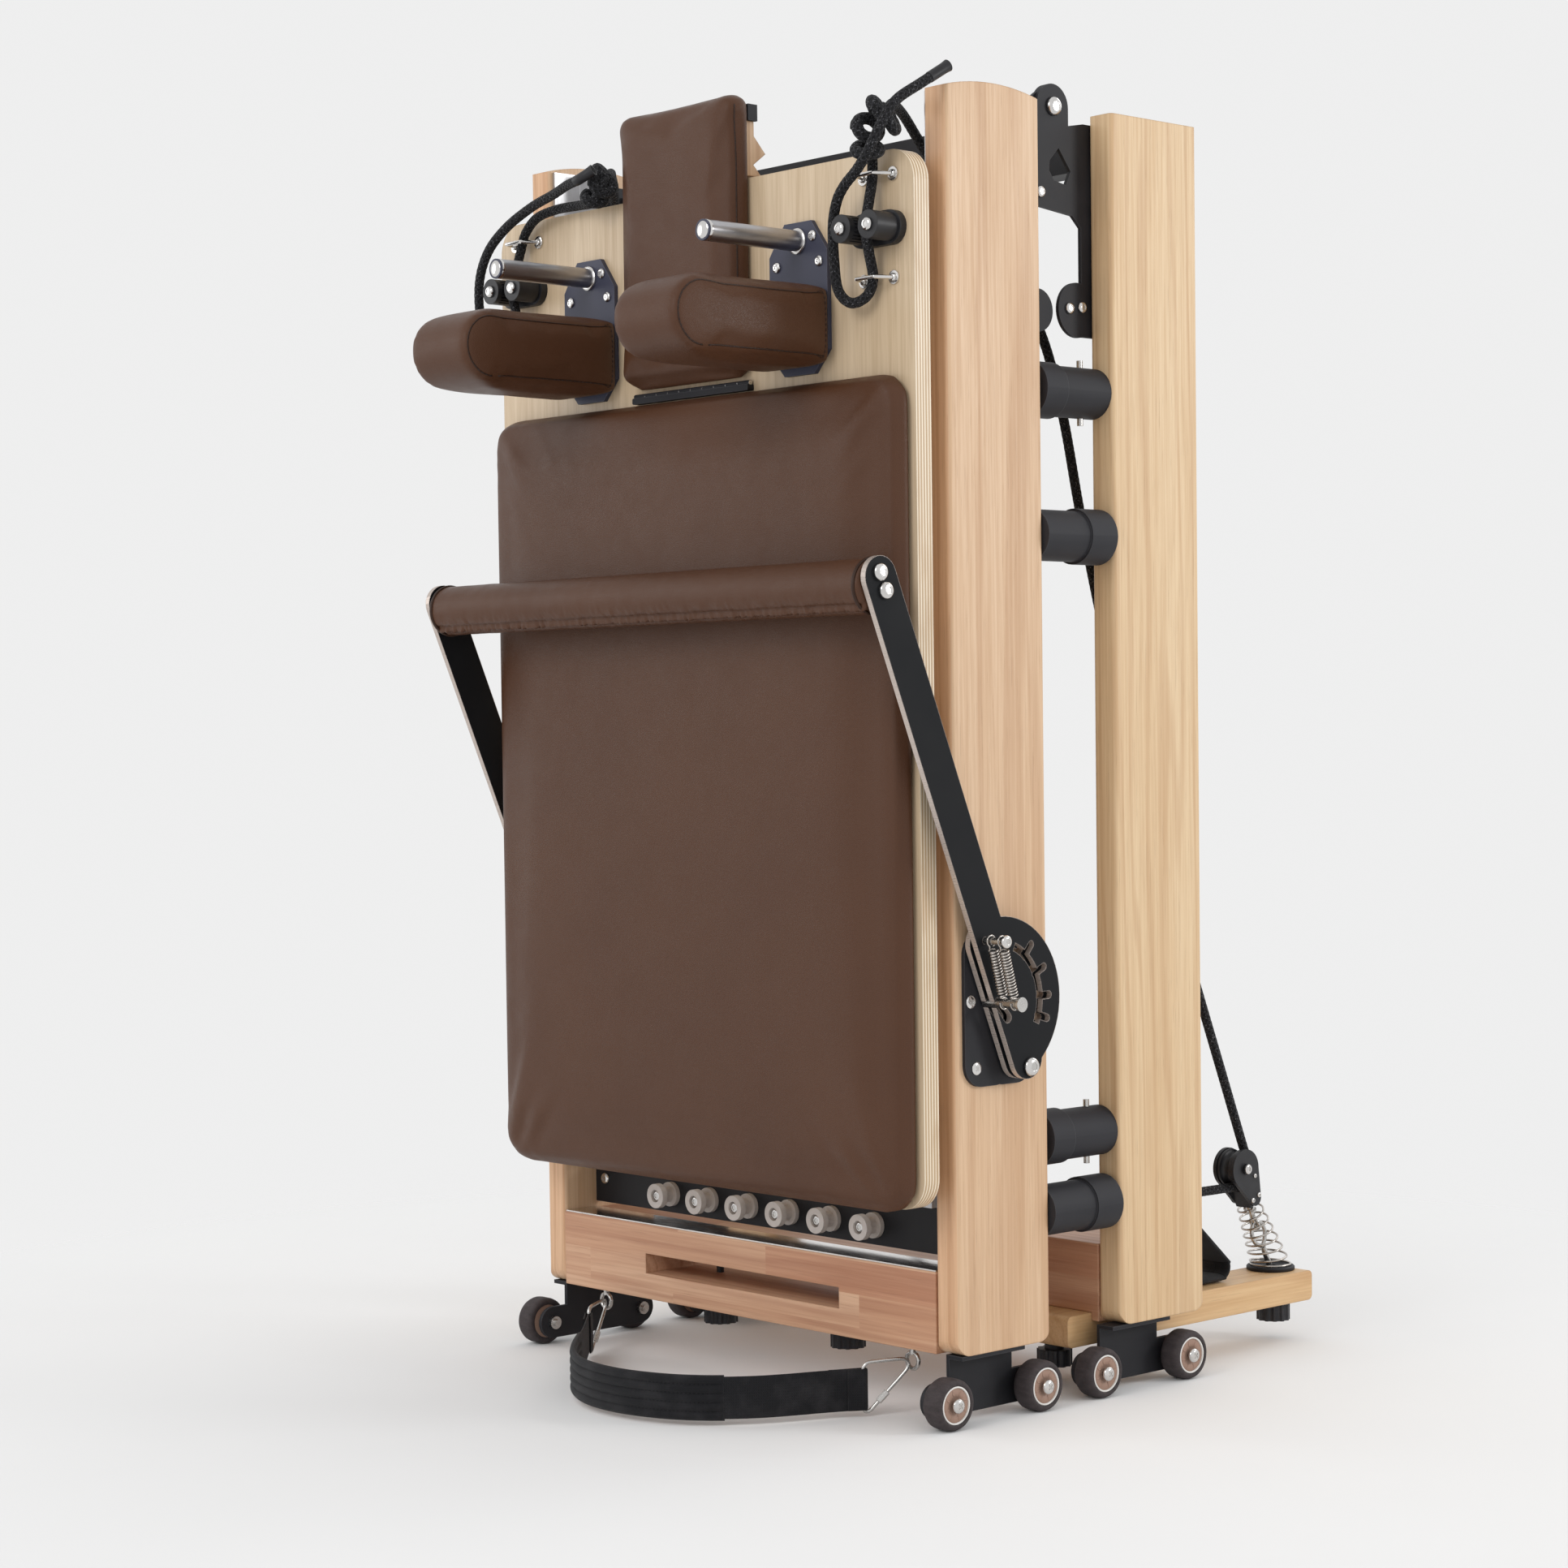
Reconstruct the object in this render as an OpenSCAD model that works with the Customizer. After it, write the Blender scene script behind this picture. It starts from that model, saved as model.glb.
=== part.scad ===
// Half-folding pilates reformer, folded and standing on its transport wheels.
// Millimetres, +Z up, -Y towards the upholstered carriage, floor at z = 0.

/* [Frame] */
// Length of the side rails of each half
rail_l = 1200; // [1190:1:1210]
// Depth of a side rail, from its working edge to its underside
rail_d = 128; // [126:1:130]
// Thickness of a side rail
rail_t = 30; // [28:1:32]
// Width over the side rails
frame_w = 630; // [620:2:640]
// Gap between the two folded halves
fold_gap = 102; // [100:1:106]
// Height of the cross boards at the foot ends
end_board_h = 79; // [76:1:82]
// Depth of the cross boards at the foot ends
end_board_d = 100; // [90:1:110]
// Height of the arched front rail tops
crown = 8; // [6:1:10]

/* [Carriage] */
// Length of the plywood carriage board
board_l = 995; // [990:1:1000]
// Thickness of the carriage board
board_t = 20; // [18:1:20]
// Height of the board's lower edge above the rail ends
board_z = 144; // [143:1:146]
// Length of the mattress
mattress_l = 791; // [780:1:793]
// Thickness of the mattress and headrest cushions
cushion_t = 30; // [28:1:32]
// Width of the headrest
headrest_w = 180; // [170:2:184]
// Reach of the shoulder rests from the board
shoulder_reach = 200; // [190:1:205]

/* [Footbar] */
// Length from the footbar pivot to the upper arm bolt
arm_l = 506; // [500:1:510]
// Lean of the folded arms from upright, in degrees
arm_lean = 22.4; // [22:0.1:23]
// Width of the arms
arm_w = 40; // [38:1:42]
// Radius of the padded roll
roll_r = 27; // [25:1:28]

/* [Running gear] */
// Radius of the transport wheels
wheel_r = 25; // [24:1:26]
// Drop of the wheel axles below the rail ends
axle_drop = 42; // [41:1:44]
// Radius of the ropes
rope_r = 5; // [4:0.5:5]
// Reach of the posts behind the rear rails
post_reach = 225; // [220:1:230]

/* [Hidden] */
$fn = 48;
eps = 0.5;
run = 0.06;             // radial clearance of a turning fit

x_out = frame_w / 2;
x_in = x_out - rail_t;
lift = axle_drop + wheel_r;
rear_y = rail_d + fold_gap;
back_y = rear_y + rail_d;
hinge_y = rail_d + fold_gap / 2;
hinge_z = rail_l + crown / 2 + 0.5;
rail_edge_r = 5;
rail_end_r = 16;

board_back = -22;
board_face = board_back - board_t;
board_top = board_z + board_l;
board_w = frame_w - 2;
cushion_face = board_face - cushion_t;
mattress_w = 620;
mattress_z = board_z - 3;
mattress_top = mattress_z + mattress_l;
hinge_strip_z = mattress_top + 0.5;
hinge_strip_h = 5;
headrest_z = hinge_strip_z + hinge_strip_h + 5.5;
headrest_top = 1222;

shoulder_x = 160;
shoulder_z = 983.5;
shoulder_r = 38.5;
shoulder_w = 96;
shoulder_t = 5;
peg_z = 1068;
peg_r = 10;
peg_l = 121;

roller_x0 = 258;
roller_x1 = 278;
roller_y = 22;
roller_r = 17.5;
roller_zs = [board_z + 86, board_top - 89];
track_ledge_y = 40;
track_t = 4;
track_x = 250;
track_flange_w = 42;
track_z = board_z - 4;

pivot = [78, 274];
arm_t = 6;
arm_x = 332;
inner_x = 321;
base_t = 4;
roll_u = arm_l - 13;
tube_r = 18;
latch_at = [34.5, 338];
latch_dir = [0.66, -0.75];
latch_travel = 20;
latch_r = 4.5;
stud_at = [18, 398];
spring_xs = [346, 360];
spring_r = 5;
comb_at = [37, 339];
comb_r = 55;
comb_notches = [50, 26, 2, -17];

spool_pitch = 62.5;
spool_z = 106;
bar_y = 44;

leg_r = 25;
leg_cap_r = 27.5;
front_leg_x = 298;
rear_leg_x = 288;
front_leg_zs = [785, 125];
rear_leg_zs = [927, 195];

wheel_plate_x = 292;
wheel_x0 = 301;
wheel_x1 = 325;
axle_r = 4;
front_axle_ys = [-13, 111];
rear_axle_ys = [198, 327];

hinge_plate_t = 4;
rear_plate_x = x_in - hinge_plate_t;
front_plate_x = rear_plate_x - hinge_plate_t - 0.2;
hinge_bolt_r = 5;
lobe_r = 22;

post_x = 215;
post_w = 60;
post_y = rear_y - 35;
post_end = back_y + post_reach;
post_z = -24;
post_h = 32;
post_top = post_z + post_h;
foot_x = 240;
foot_ys = [213, 560];

rope_x = 240;
sheave_at = [499, 124];
sheave_r = 20;
sheave_groove_r = 13.8;
disc_at = [556, post_top];
block_lean = atan2(disc_at[0] - sheave_at[0], sheave_at[1] - disc_at[1]);

cleat_x = 270;
cleat_z = 1066;
cam_r = 13.3;
cam_gap = 37;
cam_y0 = -77;
cam_y1 = -50;
eye_x = 268;
eye_zs = [1116, 1020];

clamp_x = 98;
clamp_y = 60;
slot_w = 298;
slot_z0 = 27;
slot_z1 = 48;

strap_z0 = -62;
strap_z1 = -18;
strap_path = [[212, -28], [196, -60], [165, -125], [120, -172], [60, -196],
    [0, -196], [-50, -176], [-95, -140], [-150, -85], [-212, -28]];

// Routes of the ropes in the frame's own axes, before the shift to the floor.
// A fourth value is the radius of the tube there, at a knot or a frayed end.
rope_rear_route = [[240, 64, 1136], [240, 110, 1095], [240, 160, 1046], [240, 208, 989],
    [240, 238, 911], [240, 262, 816], [240, 292, 710], [240, 330, 590], [240, 372, 470],
    [240, 420, 362], [240, 470, 244], [240, 508.5, 152], [240, 517, 132.5], [240, 519, 124],
    [240, 516.2, 114], [240, 509, 106.7], [240, 499, 104], [240, 470, 104],
    [240, 430, 104], [240, 400, 100]];
rope_right_route = [[240, 61, 1138.4], [236, 42, 1164], [242, 18, 1182], [258, -10, 1187],
    [280, -36, 1182, 7], [293, -55, 1171, 11], [290, -63, 1155, 12], [277, -59, 1140, 9],
    [269, -51, 1125], [268, -51, 1110], [269, -56, 1092], [270, -62, 1066], [270, -58, 1044],
    [268, -51, 1020], [262, -54, 1004], [247, -60, 999], [234, -64, 1012], [231, -66, 1040],
    [231, -67, 1072], [238, -70, 1094], [252, -74, 1110], [266, -80, 1126], [280, -86, 1146],
    [292, -86, 1166], [306, -68, 1182], [313, -34, 1196], [319, 0, 1216]];
rope_left_route = [[-240, 61, 1138.4], [-226, 44, 1160], [-196, 18, 1172], [-158, -16, 1175],
    [-128, -42, 1172, 7], [-111, -62, 1162, 9], [-112, -72, 1147, 9], [-130, -66, 1140, 8],
    [-160, -58, 1142], [-200, -56, 1143], [-236, -54, 1139], [-260, -51, 1126],
    [-268, -51, 1110], [-269, -56, 1092], [-270, -62, 1066], [-270, -58, 1044],
    [-268, -51, 1020], [-274, -54, 1004], [-289, -60, 999], [-304, -66, 1010],
    [-313, -72, 1040], [-309, -76, 1078], [-290, -78, 1108], [-260, -76, 1130],
    [-220, -74, 1146], [-180, -76, 1154], [-148, -84, 1158], [-120, -90, 1160],
    [-104, -84, 1168]];

front_reach = board_face - shoulder_t - shoulder_reach;
mid_y = (front_reach + post_end) / 2;

wood = "burlywood";
ply = "wheat";
leather = "#5C443A";
black_steel = "#2D2D32";
steel = "silver";
black_rope = "#1C1C1E";

// ---------------------------------------------------------------- helpers

module home() translate([0, -mid_y, lift]) children();

module both() {
    children();
    mirror([1, 0, 0]) children();
}

// Extrudes a (y, z) outline along X, and an (x, z) outline along Y.
module yz(x0, w) translate([x0, 0, 0]) rotate([90, 0, 90]) linear_extrude(w) children();
module xz(y0, w) translate([0, y0 + w, 0]) rotate([90, 0, 0]) linear_extrude(w) children();

module rod_x(x0, x1, at, r) translate([x0, at[0], at[1]]) rotate([0, 90, 0]) cylinder(h = x1 - x0, r = r);
module rod_y(y0, y1, at, r) translate([at[0], y0, at[1]]) rotate([-90, 0, 0]) cylinder(h = y1 - y0, r = r);
module rod_z(z0, z1, at, r) translate([at[0], at[1], z0]) cylinder(h = z1 - z0, r = r);

// Straight round bar from p to q.
module bar(p, q, r) {
    v = q - p;
    translate(p) rotate([0, acos(v[2] / norm(v)), atan2(v[1], v[0])]) cylinder(h = norm(v), r = r);
}

// Rectangle with round corners, its lower left corner at the origin.
module rounded(w, h, r) {
    translate([r, 0]) square([w - 2 * r, h]);
    translate([0, r]) square([w, h - 2 * r]);
    for (x = [r, w - r], y = [r, h - r]) translate([x, y]) circle(r);
}

// Round-ended bar outline between two points.
module slot_2d(p, q, r, n = 16) {
    a = atan2(q[1] - p[1], q[0] - p[0]);
    polygon(concat(arc(p, r, a + 90, a + 270, n), arc(q, r, a - 90, a + 90, n)));
}

function arc(c, r, a0, a1, n = 8) =
    [for (i = [0:n]) let (a = a0 + (a1 - a0) * i / n) c + r * [cos(a), sin(a)]];

// Catmull-Rom curve through a list of points, n steps for each stretch.
function at_(p, i) = p[max(0, min(len(p) - 1, i))];
function spline_at(p, i, t) = 0.5 * (2 * at_(p, i) + (at_(p, i + 1) - at_(p, i - 1)) * t
    + (2 * at_(p, i - 1) - 5 * at_(p, i) + 4 * at_(p, i + 1) - at_(p, i + 2)) * t * t
    + (3 * at_(p, i) - at_(p, i - 1) - 3 * at_(p, i + 1) + at_(p, i + 2)) * t * t * t);
function spline(p, n) = concat([for (i = [0:len(p) - 2], k = [0:n - 1]) spline_at(p, i, k / n)],
    [p[len(p) - 1]]);

function unit(v) = v / norm(v);
function tangent(p, i) = unit(at_(p, i + 1) - at_(p, i - 1));
function place(p) = [p[0], p[1], p[2]];

// Round tube swept along a route; each ring is turned from the last by the least angle.
function side_from(t, s) = unit(s - (s * t) * t);
function frames(p, i, s) = i == len(p) ? [] : let (t = tangent(p, i), n = side_from(t, s))
    concat([[n, cross(t, n)]], frames(p, i + 1, n));
module tube(route, r, sides = 8) {
    line = [for (p = route) place(p)];
    f = frames(line, 0, [1, 0.1, 0.05]);
    radii = [for (p = route) len(p) > 3 ? p[3] : r];
    rings = [for (i = [0:len(line) - 1], k = [0:sides - 1])
        line[i] + radii[i] * (cos(360 * k / sides) * f[i][0] + sin(360 * k / sides) * f[i][1])];
    walls = [for (i = [0:len(line) - 2], k = [0:sides - 1]) let (j = (k + 1) % sides)
        [i * sides + k, i * sides + j, (i + 1) * sides + j, (i + 1) * sides + k]];
    first = [for (k = [sides - 1:-1:0]) k];
    last = [for (k = [0:sides - 1]) (len(line) - 1) * sides + k];
    polyhedron(rings, concat([first], walls, [last]));
}

// A point along the leaning arm: u up the arm from the pivot, v across it.
function on_arm(u, v = 0) = pivot + u * [-sin(arm_lean), cos(arm_lean)]
    + v * [cos(arm_lean), sin(arm_lean)];

// Screw with a domed head: head base at p, head pointing along +X of its own frame.
module bolt_x(p, r, head_r, head_h, depth) {
    translate(p) rotate([0, 90, 0]) {
        translate([0, 0, -depth]) cylinder(h = depth, r = r);
        cylinder(h = head_h * 0.55, r = head_r);
        translate([0, 0, head_h * 0.55]) cylinder(h = head_h * 0.45, r1 = head_r, r2 = head_r * 0.72);
    }
}
module bolt_minus_y(p, r, head_r, head_h, depth)
    translate(p) rotate([0, 0, -90]) bolt_x([0, 0, 0], r, head_r, head_h, depth);

// ------------------------------------------------------------- front frame

function rail_side(y0, rise) = let (d = rail_d, r = rail_end_r,
        big = rise > 0 ? (d * d / 4 + rise * rise) / (2 * rise) : 0,
        a = rise > 0 ? asin(d / 2 / big) : 0)
    concat(arc([y0 + r, r], r, 180, 270), arc([y0 + d - r, r], r, 270, 360),
        rise > 0 ? arc([y0 + d / 2, rail_l + rise - big], big, 90 - a, 90 + a, 12)
                 : [[y0 + d, rail_l], [y0, rail_l]]);

module rail(y0, rise) intersection() {
    translate([x_in, y0, -eps]) linear_extrude(rail_l + rise + 2 * eps)
        rounded(rail_t, rail_d, rail_edge_r);
    yz(x_in - eps, rail_t + 2 * eps) polygon(rail_side(y0, rise));
}

module front_rails() home() color(wood) difference() {
    both() rail(0, crown);
    front_bolts();
}

module front_end_board() home() color(wood) difference() {
    translate([-x_in, 0, 0]) cube([2 * x_in, end_board_d, end_board_h]);
    translate([-slot_w / 2, -eps, slot_z0])
        cube([slot_w, end_board_d + 2 * eps, slot_z1 - slot_z0]);
    both() rod_z(-eps, slot_z0 + eps, [clamp_x, clamp_y], axle_r + 0.3);
    both() strap_eye();
}

module front_cross_ties() home() color(black_steel) {
    tie_w = 30;
    translate([-front_plate_x, rail_d - tie_w - 2, 1150]) cube([2 * front_plate_x, tie_w, tie_w]);
    translate([-x_in, rail_d - tie_w - 2, rail_l / 2]) cube([2 * x_in, tie_w, tie_w]);
}

// Aluminium rail with the ledge that the carriage rollers run on.
module track(ledge_y, flange_y) {
    h = rail_l - track_z - 1;
    translate([x_in - track_t, flange_y, track_z]) cube([track_t, track_flange_w, h]);
    translate([track_x, ledge_y, track_z]) cube([x_in - track_t / 2 - track_x, track_t, h]);
}

// A stop block closes the lower end of each front ledge, under the roller bracket. It is a solid of its own,
// a hair clear of the ledge, so that no collision piece bridges the two.
module front_tracks() home() color(steel) both() {
    track(track_ledge_y, track_ledge_y + 8 - track_flange_w);
    translate([track_x, 0, track_z])
        cube([x_in - track_t - track_x - 0.3, track_ledge_y - 0.3, roller_zs[0] - 20 - track_z]);
}

module spring_bar() home() color(black_steel) difference() {
    translate([-x_in, bar_y, 86]) cube([2 * x_in, 6, 50]);
    front_bolts();
}

module spring_spools() home() color("#CDC3C0") for (i = [-2.5:1:2.5])
    translate([i * spool_pitch, bar_y, spool_z]) rotate([90, 0, 0]) difference() {
        union() {
            cylinder(h = 5, r = 13);
            cylinder(h = 20, r = 8);
            translate([0, 0, 17]) cylinder(h = 7, r = 13);
        }
        translate([0, 0, -eps]) cylinder(h = 30, r = 3);
        translate([0, 0, 19]) cylinder(h = 10, r = 6.5);
    }

module guard_sheet() home() color(steel)
    translate([-x_in + 1, 1, end_board_h]) cube([2 * x_in - 2, bar_y - 2, 1.5]);

module leg(x, z, foot_y, root_y) {
    cap = foot_y > root_y ? [foot_y - 36, foot_y] : [foot_y, foot_y + 30];
    tube_end = foot_y > root_y ? foot_y - 8 : foot_y + 4;
    rod_y(min(root_y, tube_end), max(root_y, tube_end), [x, z], leg_r);
    difference() {
        rod_y(cap[0], cap[1], [x, z], leg_cap_r);
        rod_y(min(root_y, tube_end), max(root_y, tube_end), [x, z], leg_r);
    }
}

module front_legs() home() color(black_steel)
    both() for (z = front_leg_zs) leg(front_leg_x, z, rear_y - 6, rail_d);

module front_hinge_plates() home() color(black_steel) difference() {
    both() {
        yz(front_plate_x, hinge_plate_t) {
            translate([50, 985]) square([76, 205]);
            polygon([[120, 1110], [120, 1190], [hinge_y - 6, hinge_z + lobe_r - 1],
                [hinge_y + lobe_r - 0.5, hinge_z], [hinge_y + 8, 1165], [150, 1110]]);
            translate([hinge_y, hinge_z]) circle(lobe_r);
            translate([120, 985]) square([40, 42]);
            translate([160, 1006]) circle(21);
        }
        translate([front_plate_x + hinge_plate_t, 50, 985])
            cube([x_in - front_plate_x - hinge_plate_t, 76, 205]);
    }
    front_bolts();
}

module footbar_base_plates() home() color(black_steel) difference() {
    both() yz(x_out, base_t) {
        translate([9, 257]) rounded(63, 148, 22);
        translate([40, 257]) rounded(60, 44, 20);
    }
    front_bolts();
}

// Inverted T plate under a rail with the ends rounded about the axles.
module wheel_plate(axle_ys) {
    mid = (axle_ys[0] + axle_ys[1]) / 2;
    yz(wheel_plate_x, 4) {
        translate([mid - 43, -59]) square([86, 59]);
        slot_2d([axle_ys[0], -axle_drop], [axle_ys[1], -axle_drop], 17);
    }
    translate([wheel_plate_x, mid - 43, -4]) cube([x_out - wheel_plate_x - 1, 86, 4]);
}

module front_wheel_plates() home() color(black_steel) difference() {
    both() wheel_plate(front_axle_ys);
    front_bolts();
}

module axle_bolt(y) {
    p = [wheel_x1, y, -axle_drop];
    bolt_x(p + [0.4, 0, 0], axle_r, 7, 4, wheel_x1 + 0.4 - 284);
    rod_x(wheel_plate_x + 4, wheel_x0 - 0.4, [y, -axle_drop], 7);
    rod_x(wheel_plate_x - 5, wheel_plate_x, [y, -axle_drop], 7);
}

// All bolts and screws fixed to the front frame.
module front_bolts() both() {
    for (y = front_axle_ys) axle_bolt(y);
    bolt_x([arm_x + arm_t + 0.4, pivot[0], pivot[1]], 6, 9, 5, arm_x + arm_t + 0.4 - 300);
    bolt_x([x_out + base_t, 17, 339], 3, 6, 1.5, 16);
    bolt_x([x_out + base_t, 24, 275], 3, 6, 1.5, 16);
    bolt_x([x_in + 0.4, hinge_y, hinge_z], hinge_bolt_r, 9, 5, x_in + 0.4 - front_plate_x + 6);
    rod_x(front_plate_x - 8, front_plate_x, [hinge_y, hinge_z], 9);
    bolt_minus_y([268, bar_y, 112], 3, 6, 3, 10);
    for (i = [0.5:1:2.5]) bolt_minus_y([i * spool_pitch, bar_y - 19, spool_z], 3, 6, 3, 32);
}

module front_fasteners() home() color(steel) front_bolts();

// Eye under the cross board, and the three-sided link that holds the strap.
module strap_eye() {
    at = [236, 16];
    rod_z(-8, 10, at, 3);
    translate([at[0], at[1], -15]) rotate([90, 0, 0]) rotate_extrude() translate([8, 0]) circle(2.2);
}

// Flat three-sided link: its point hangs in the eye, its long side carries the strap.
module strap_link() translate([212, -28, (strap_z0 + strap_z1) / 2])
    rotate([90, 0, 62]) translate([0, 0, -1.5]) linear_extrude(3) difference() {
        link_2d(3);
        link_2d(-1);
    }

module link_2d(grow) {
    polygon([[-grow, -22 - grow], [-grow, 22 + grow], [44 + 2 * grow, 26 + grow],
        [44 + 2 * grow, 22 - grow]]);
}

module strap_rings() home() color(steel) both() {
    strap_eye();
    strap_link();
}

// Upright band that follows the path, w thick.
module band(path, w) {
    n = len(path);
    normals = [for (i = [0:n - 1]) let (t = tangent(path, i)) [-t[1], t[0]]];
    polygon(concat([for (i = [0:n - 1]) path[i] + normals[i] * w / 2],
        [for (i = [n - 1:-1:0]) path[i] - normals[i] * w / 2]));
}

module foot_strap() home() color(black_rope) difference() {
    path = spline(strap_path, 3);
    translate([0, 0, strap_z0]) linear_extrude(strap_z1 - strap_z0) band(path, 6);
    both() strap_link();
}

module clamp_knob() {
    r = 18;
    difference() {
        rod_z(-26, -4, [clamp_x, clamp_y], r);
        for (a = [0:30:330]) translate([clamp_x, clamp_y, -27]) rotate(a) translate([r + 1.5, 0, 0])
            cylinder(h = 16, r = 3.5);
    }
    rod_z(-10, slot_z1 - 1, [clamp_x, clamp_y], axle_r);
}

module clamp_knobs() home() color(black_steel) both() clamp_knob();

// ----------------------------------------------------------------- footbar

module arm_outline(top_u) {
    slot_2d(on_arm(9), on_arm(top_u), arm_w / 2);
}

module quadrant_outline() intersection() {
    translate([40, 340]) circle(80);
    translate(on_arm(-60, -5)) rotate(arm_lean) square([200, 300]);
}

module comb_cut() translate(comb_at) {
    polygon(concat(arc([0, 0], comb_r + 4, -25, 68, 24), arc([0, 0], comb_r - 4, 68, -25, 24)));
    for (a = comb_notches)
        slot_2d((comb_r - 1) * [cos(a), sin(a)], 68 * [cos(a), sin(a)], 3.6);
}

module arm_cuts() {
    comb_cut();
    slot_2d(latch_at, latch_at + latch_travel * latch_dir, latch_r + 0.5);
    translate(pivot) circle(6 + run);
}

module footbar_arms() home() color(black_steel) difference() {
    both() {
        yz(arm_x, arm_t) difference() {
            union() {
                arm_outline(arm_l - 5);
                quadrant_outline();
            }
            arm_cuts();
        }
        yz(inner_x, arm_t) difference() {
            union() {
                arm_outline(130);
                quadrant_outline();
            }
            arm_cuts();
        }
    }
    footbar_bolts();
}

module footbar_tube() home() color(steel) difference() {
    rod_x(-arm_x, arm_x, on_arm(roll_u), tube_r);
    footbar_bolts();
}

module footbar_roll() home() color(leather) difference() {
    rod_x(1 - arm_x, arm_x - 1, on_arm(roll_u), roll_r);
    rod_x(-arm_x, arm_x, on_arm(roll_u), tube_r);
}

module footbar_bolts() both() {
    for (u = [arm_l, arm_l - 18]) {
        p = on_arm(u);
        bolt_x([arm_x + arm_t, p[0], p[1]], 3, 8, 5, 20);
    }
    bolt_x([spring_xs[1] + 5, stud_at[0], stud_at[1]], 3.5, 6, 3, spring_xs[1] + 5 - arm_x - 1);
}

module footbar_fasteners() home() color(steel) {
    footbar_bolts();
    both() for (p = [on_arm(120), on_arm(40, 62)]) rod_x(inner_x + arm_t, arm_x, p, 6);
}

module latch_springs() home() color(steel) both() for (x = spring_xs) {
    v = unit(latch_at - stud_at);
    top = stud_at + 8 * v;
    low = latch_at - 8 * v;
    bar([x, top[0], top[1]], [x, low[0], low[1]], spring_r);
}

module latch_pins() home() color(steel) both() {
    rod_x(inner_x, spring_xs[1] + 7, latch_at, latch_r);
    rod_x(spring_xs[1] + 7, spring_xs[1] + 10, latch_at, 7);
}

// ---------------------------------------------------------------- carriage

module panel(w, z0, h, r, y0, t)
    xz(y0, t) translate([-w / 2, z0]) rounded(w, h, r);

module carriage_board() home() color(ply) difference() {
    panel(board_w, board_z, board_l, 30, board_face, board_t);
    carriage_pins();
}

module mattress() home() color(leather)
    panel(mattress_w, mattress_z, mattress_l, 32, cushion_face, cushion_t);

module shoulder_pads() home() color(leather) both() yz(shoulder_x - shoulder_w / 2, shoulder_w) {
    tip = front_reach + shoulder_r;
    translate([tip, shoulder_z]) circle(shoulder_r);
    translate([tip, shoulder_z - shoulder_r]) square([board_face - shoulder_t - tip, 2 * shoulder_r]);
}

module shoulder_brackets() home() color("#484A5A") difference() {
    both() {
        xz(board_face - shoulder_t, shoulder_t) polygon([[141, 1086], [179, 1086], [201, 1056],
            [201, 962], [181, 940], [139, 940], [119, 962], [119, 1056]]);
        rod_y(board_face - shoulder_t - peg_l, board_face - shoulder_t, [shoulder_x, peg_z], peg_r);
    }
    carriage_pins();
}

module cleat_bases() home() color(black_steel) difference() {
    both() xz(cam_y1, board_face - cam_y1)
        slot_2d([cleat_x - cam_gap / 2, cleat_z], [cleat_x + cam_gap / 2, cleat_z], 16);
    carriage_pins();
}

// Arched strap with a screw foot at each end.
module eye_strap(z) {
    feet = [[eye_x - 20, board_face], [eye_x + 20, board_face]];
    top = board_face - 19;
    for (f = feet) rod_y(board_face - 2, board_face, [f[0], z], 6.5);
    for (s = [[-20, -1, -12, -19], [12, -19, 20, -1]])
        bar([eye_x + s[0], board_face + s[1], z], [eye_x + s[2], board_face + s[3], z], 2);
    rod_x(eye_x - 12, eye_x + 12, [top, z], 2);
    for (x = [eye_x - 12, eye_x + 12]) translate([x, top, z]) sphere(2);
}

// Screws and pivot pins fixed to the carriage board.
module carriage_pins() both() {
    for (p = [[181, 1071], [190, 1046], [130, 1046], [139, 1071]])
        bolt_minus_y([p[0], board_face - shoulder_t, p[1]], 2.5, 5, 2, 15);
    for (s = [-1, 1])
        bolt_minus_y([cleat_x + s * cam_gap / 2, cam_y0 - 0.4, cleat_z], 3, 6, 3,
            board_face - cam_y0 + 8);
}

module headrest_strip() {
    translate([-88, board_face - 8, hinge_strip_z]) cube([176, 8, hinge_strip_h]);
    rod_x(-88, 88, [board_face - 4, hinge_strip_z + 7], 2.4);
}

module carriage_fittings() home() color(steel) {
    carriage_pins();
    both() for (z = eye_zs) eye_strap(z);
    headrest_strip();
}

module roller_brackets() home() color(black_steel) both() for (z = roller_zs) {
    translate([252, board_back, z - 20]) cube([4, roller_y - board_back + 12, 40]);
    translate([226, board_back, z - 20]) cube([30, 4, 40]);
    rod_x(254, roller_x1 + 2, [roller_y, z], axle_r);
}

module roller(z) difference() {
    rod_x(roller_x0, roller_x1, [roller_y, z], roller_r);
    rod_x(roller_x0 - eps, roller_x1 + eps, [roller_y, z], axle_r + run);
}

module rollers_lower() home() color("#CDC3C0") both() roller(roller_zs[0]);
module rollers_upper() home() color("#CDC3C0") both() roller(roller_zs[1]);

// Toothed cam; the teeth lie about the side that faces the rope.
module cam(x, facing) {
    difference() {
        rod_y(cam_y0, cam_y1, [x, cleat_z], cam_r);
        rod_y(cam_y0 - eps, cam_y1 + eps, [x, cleat_z], 3 + run);
        for (a = [-60:15:60]) {
            p = [x + facing * cam_r * cos(a), cleat_z + cam_r * sin(a)];
            rod_y(cam_y0 + 6, cam_y1 + eps, p, 0.9);
        }
    }
}

module cam_right_outer() home() color(black_steel) cam(cleat_x + cam_gap / 2, -1);
module cam_right_inner() home() color(black_steel) cam(cleat_x - cam_gap / 2, 1);
module cam_left_inner() home() color(black_steel) cam(-cleat_x + cam_gap / 2, -1);
module cam_left_outer() home() color(black_steel) cam(-cleat_x - cam_gap / 2, 1);

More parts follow.
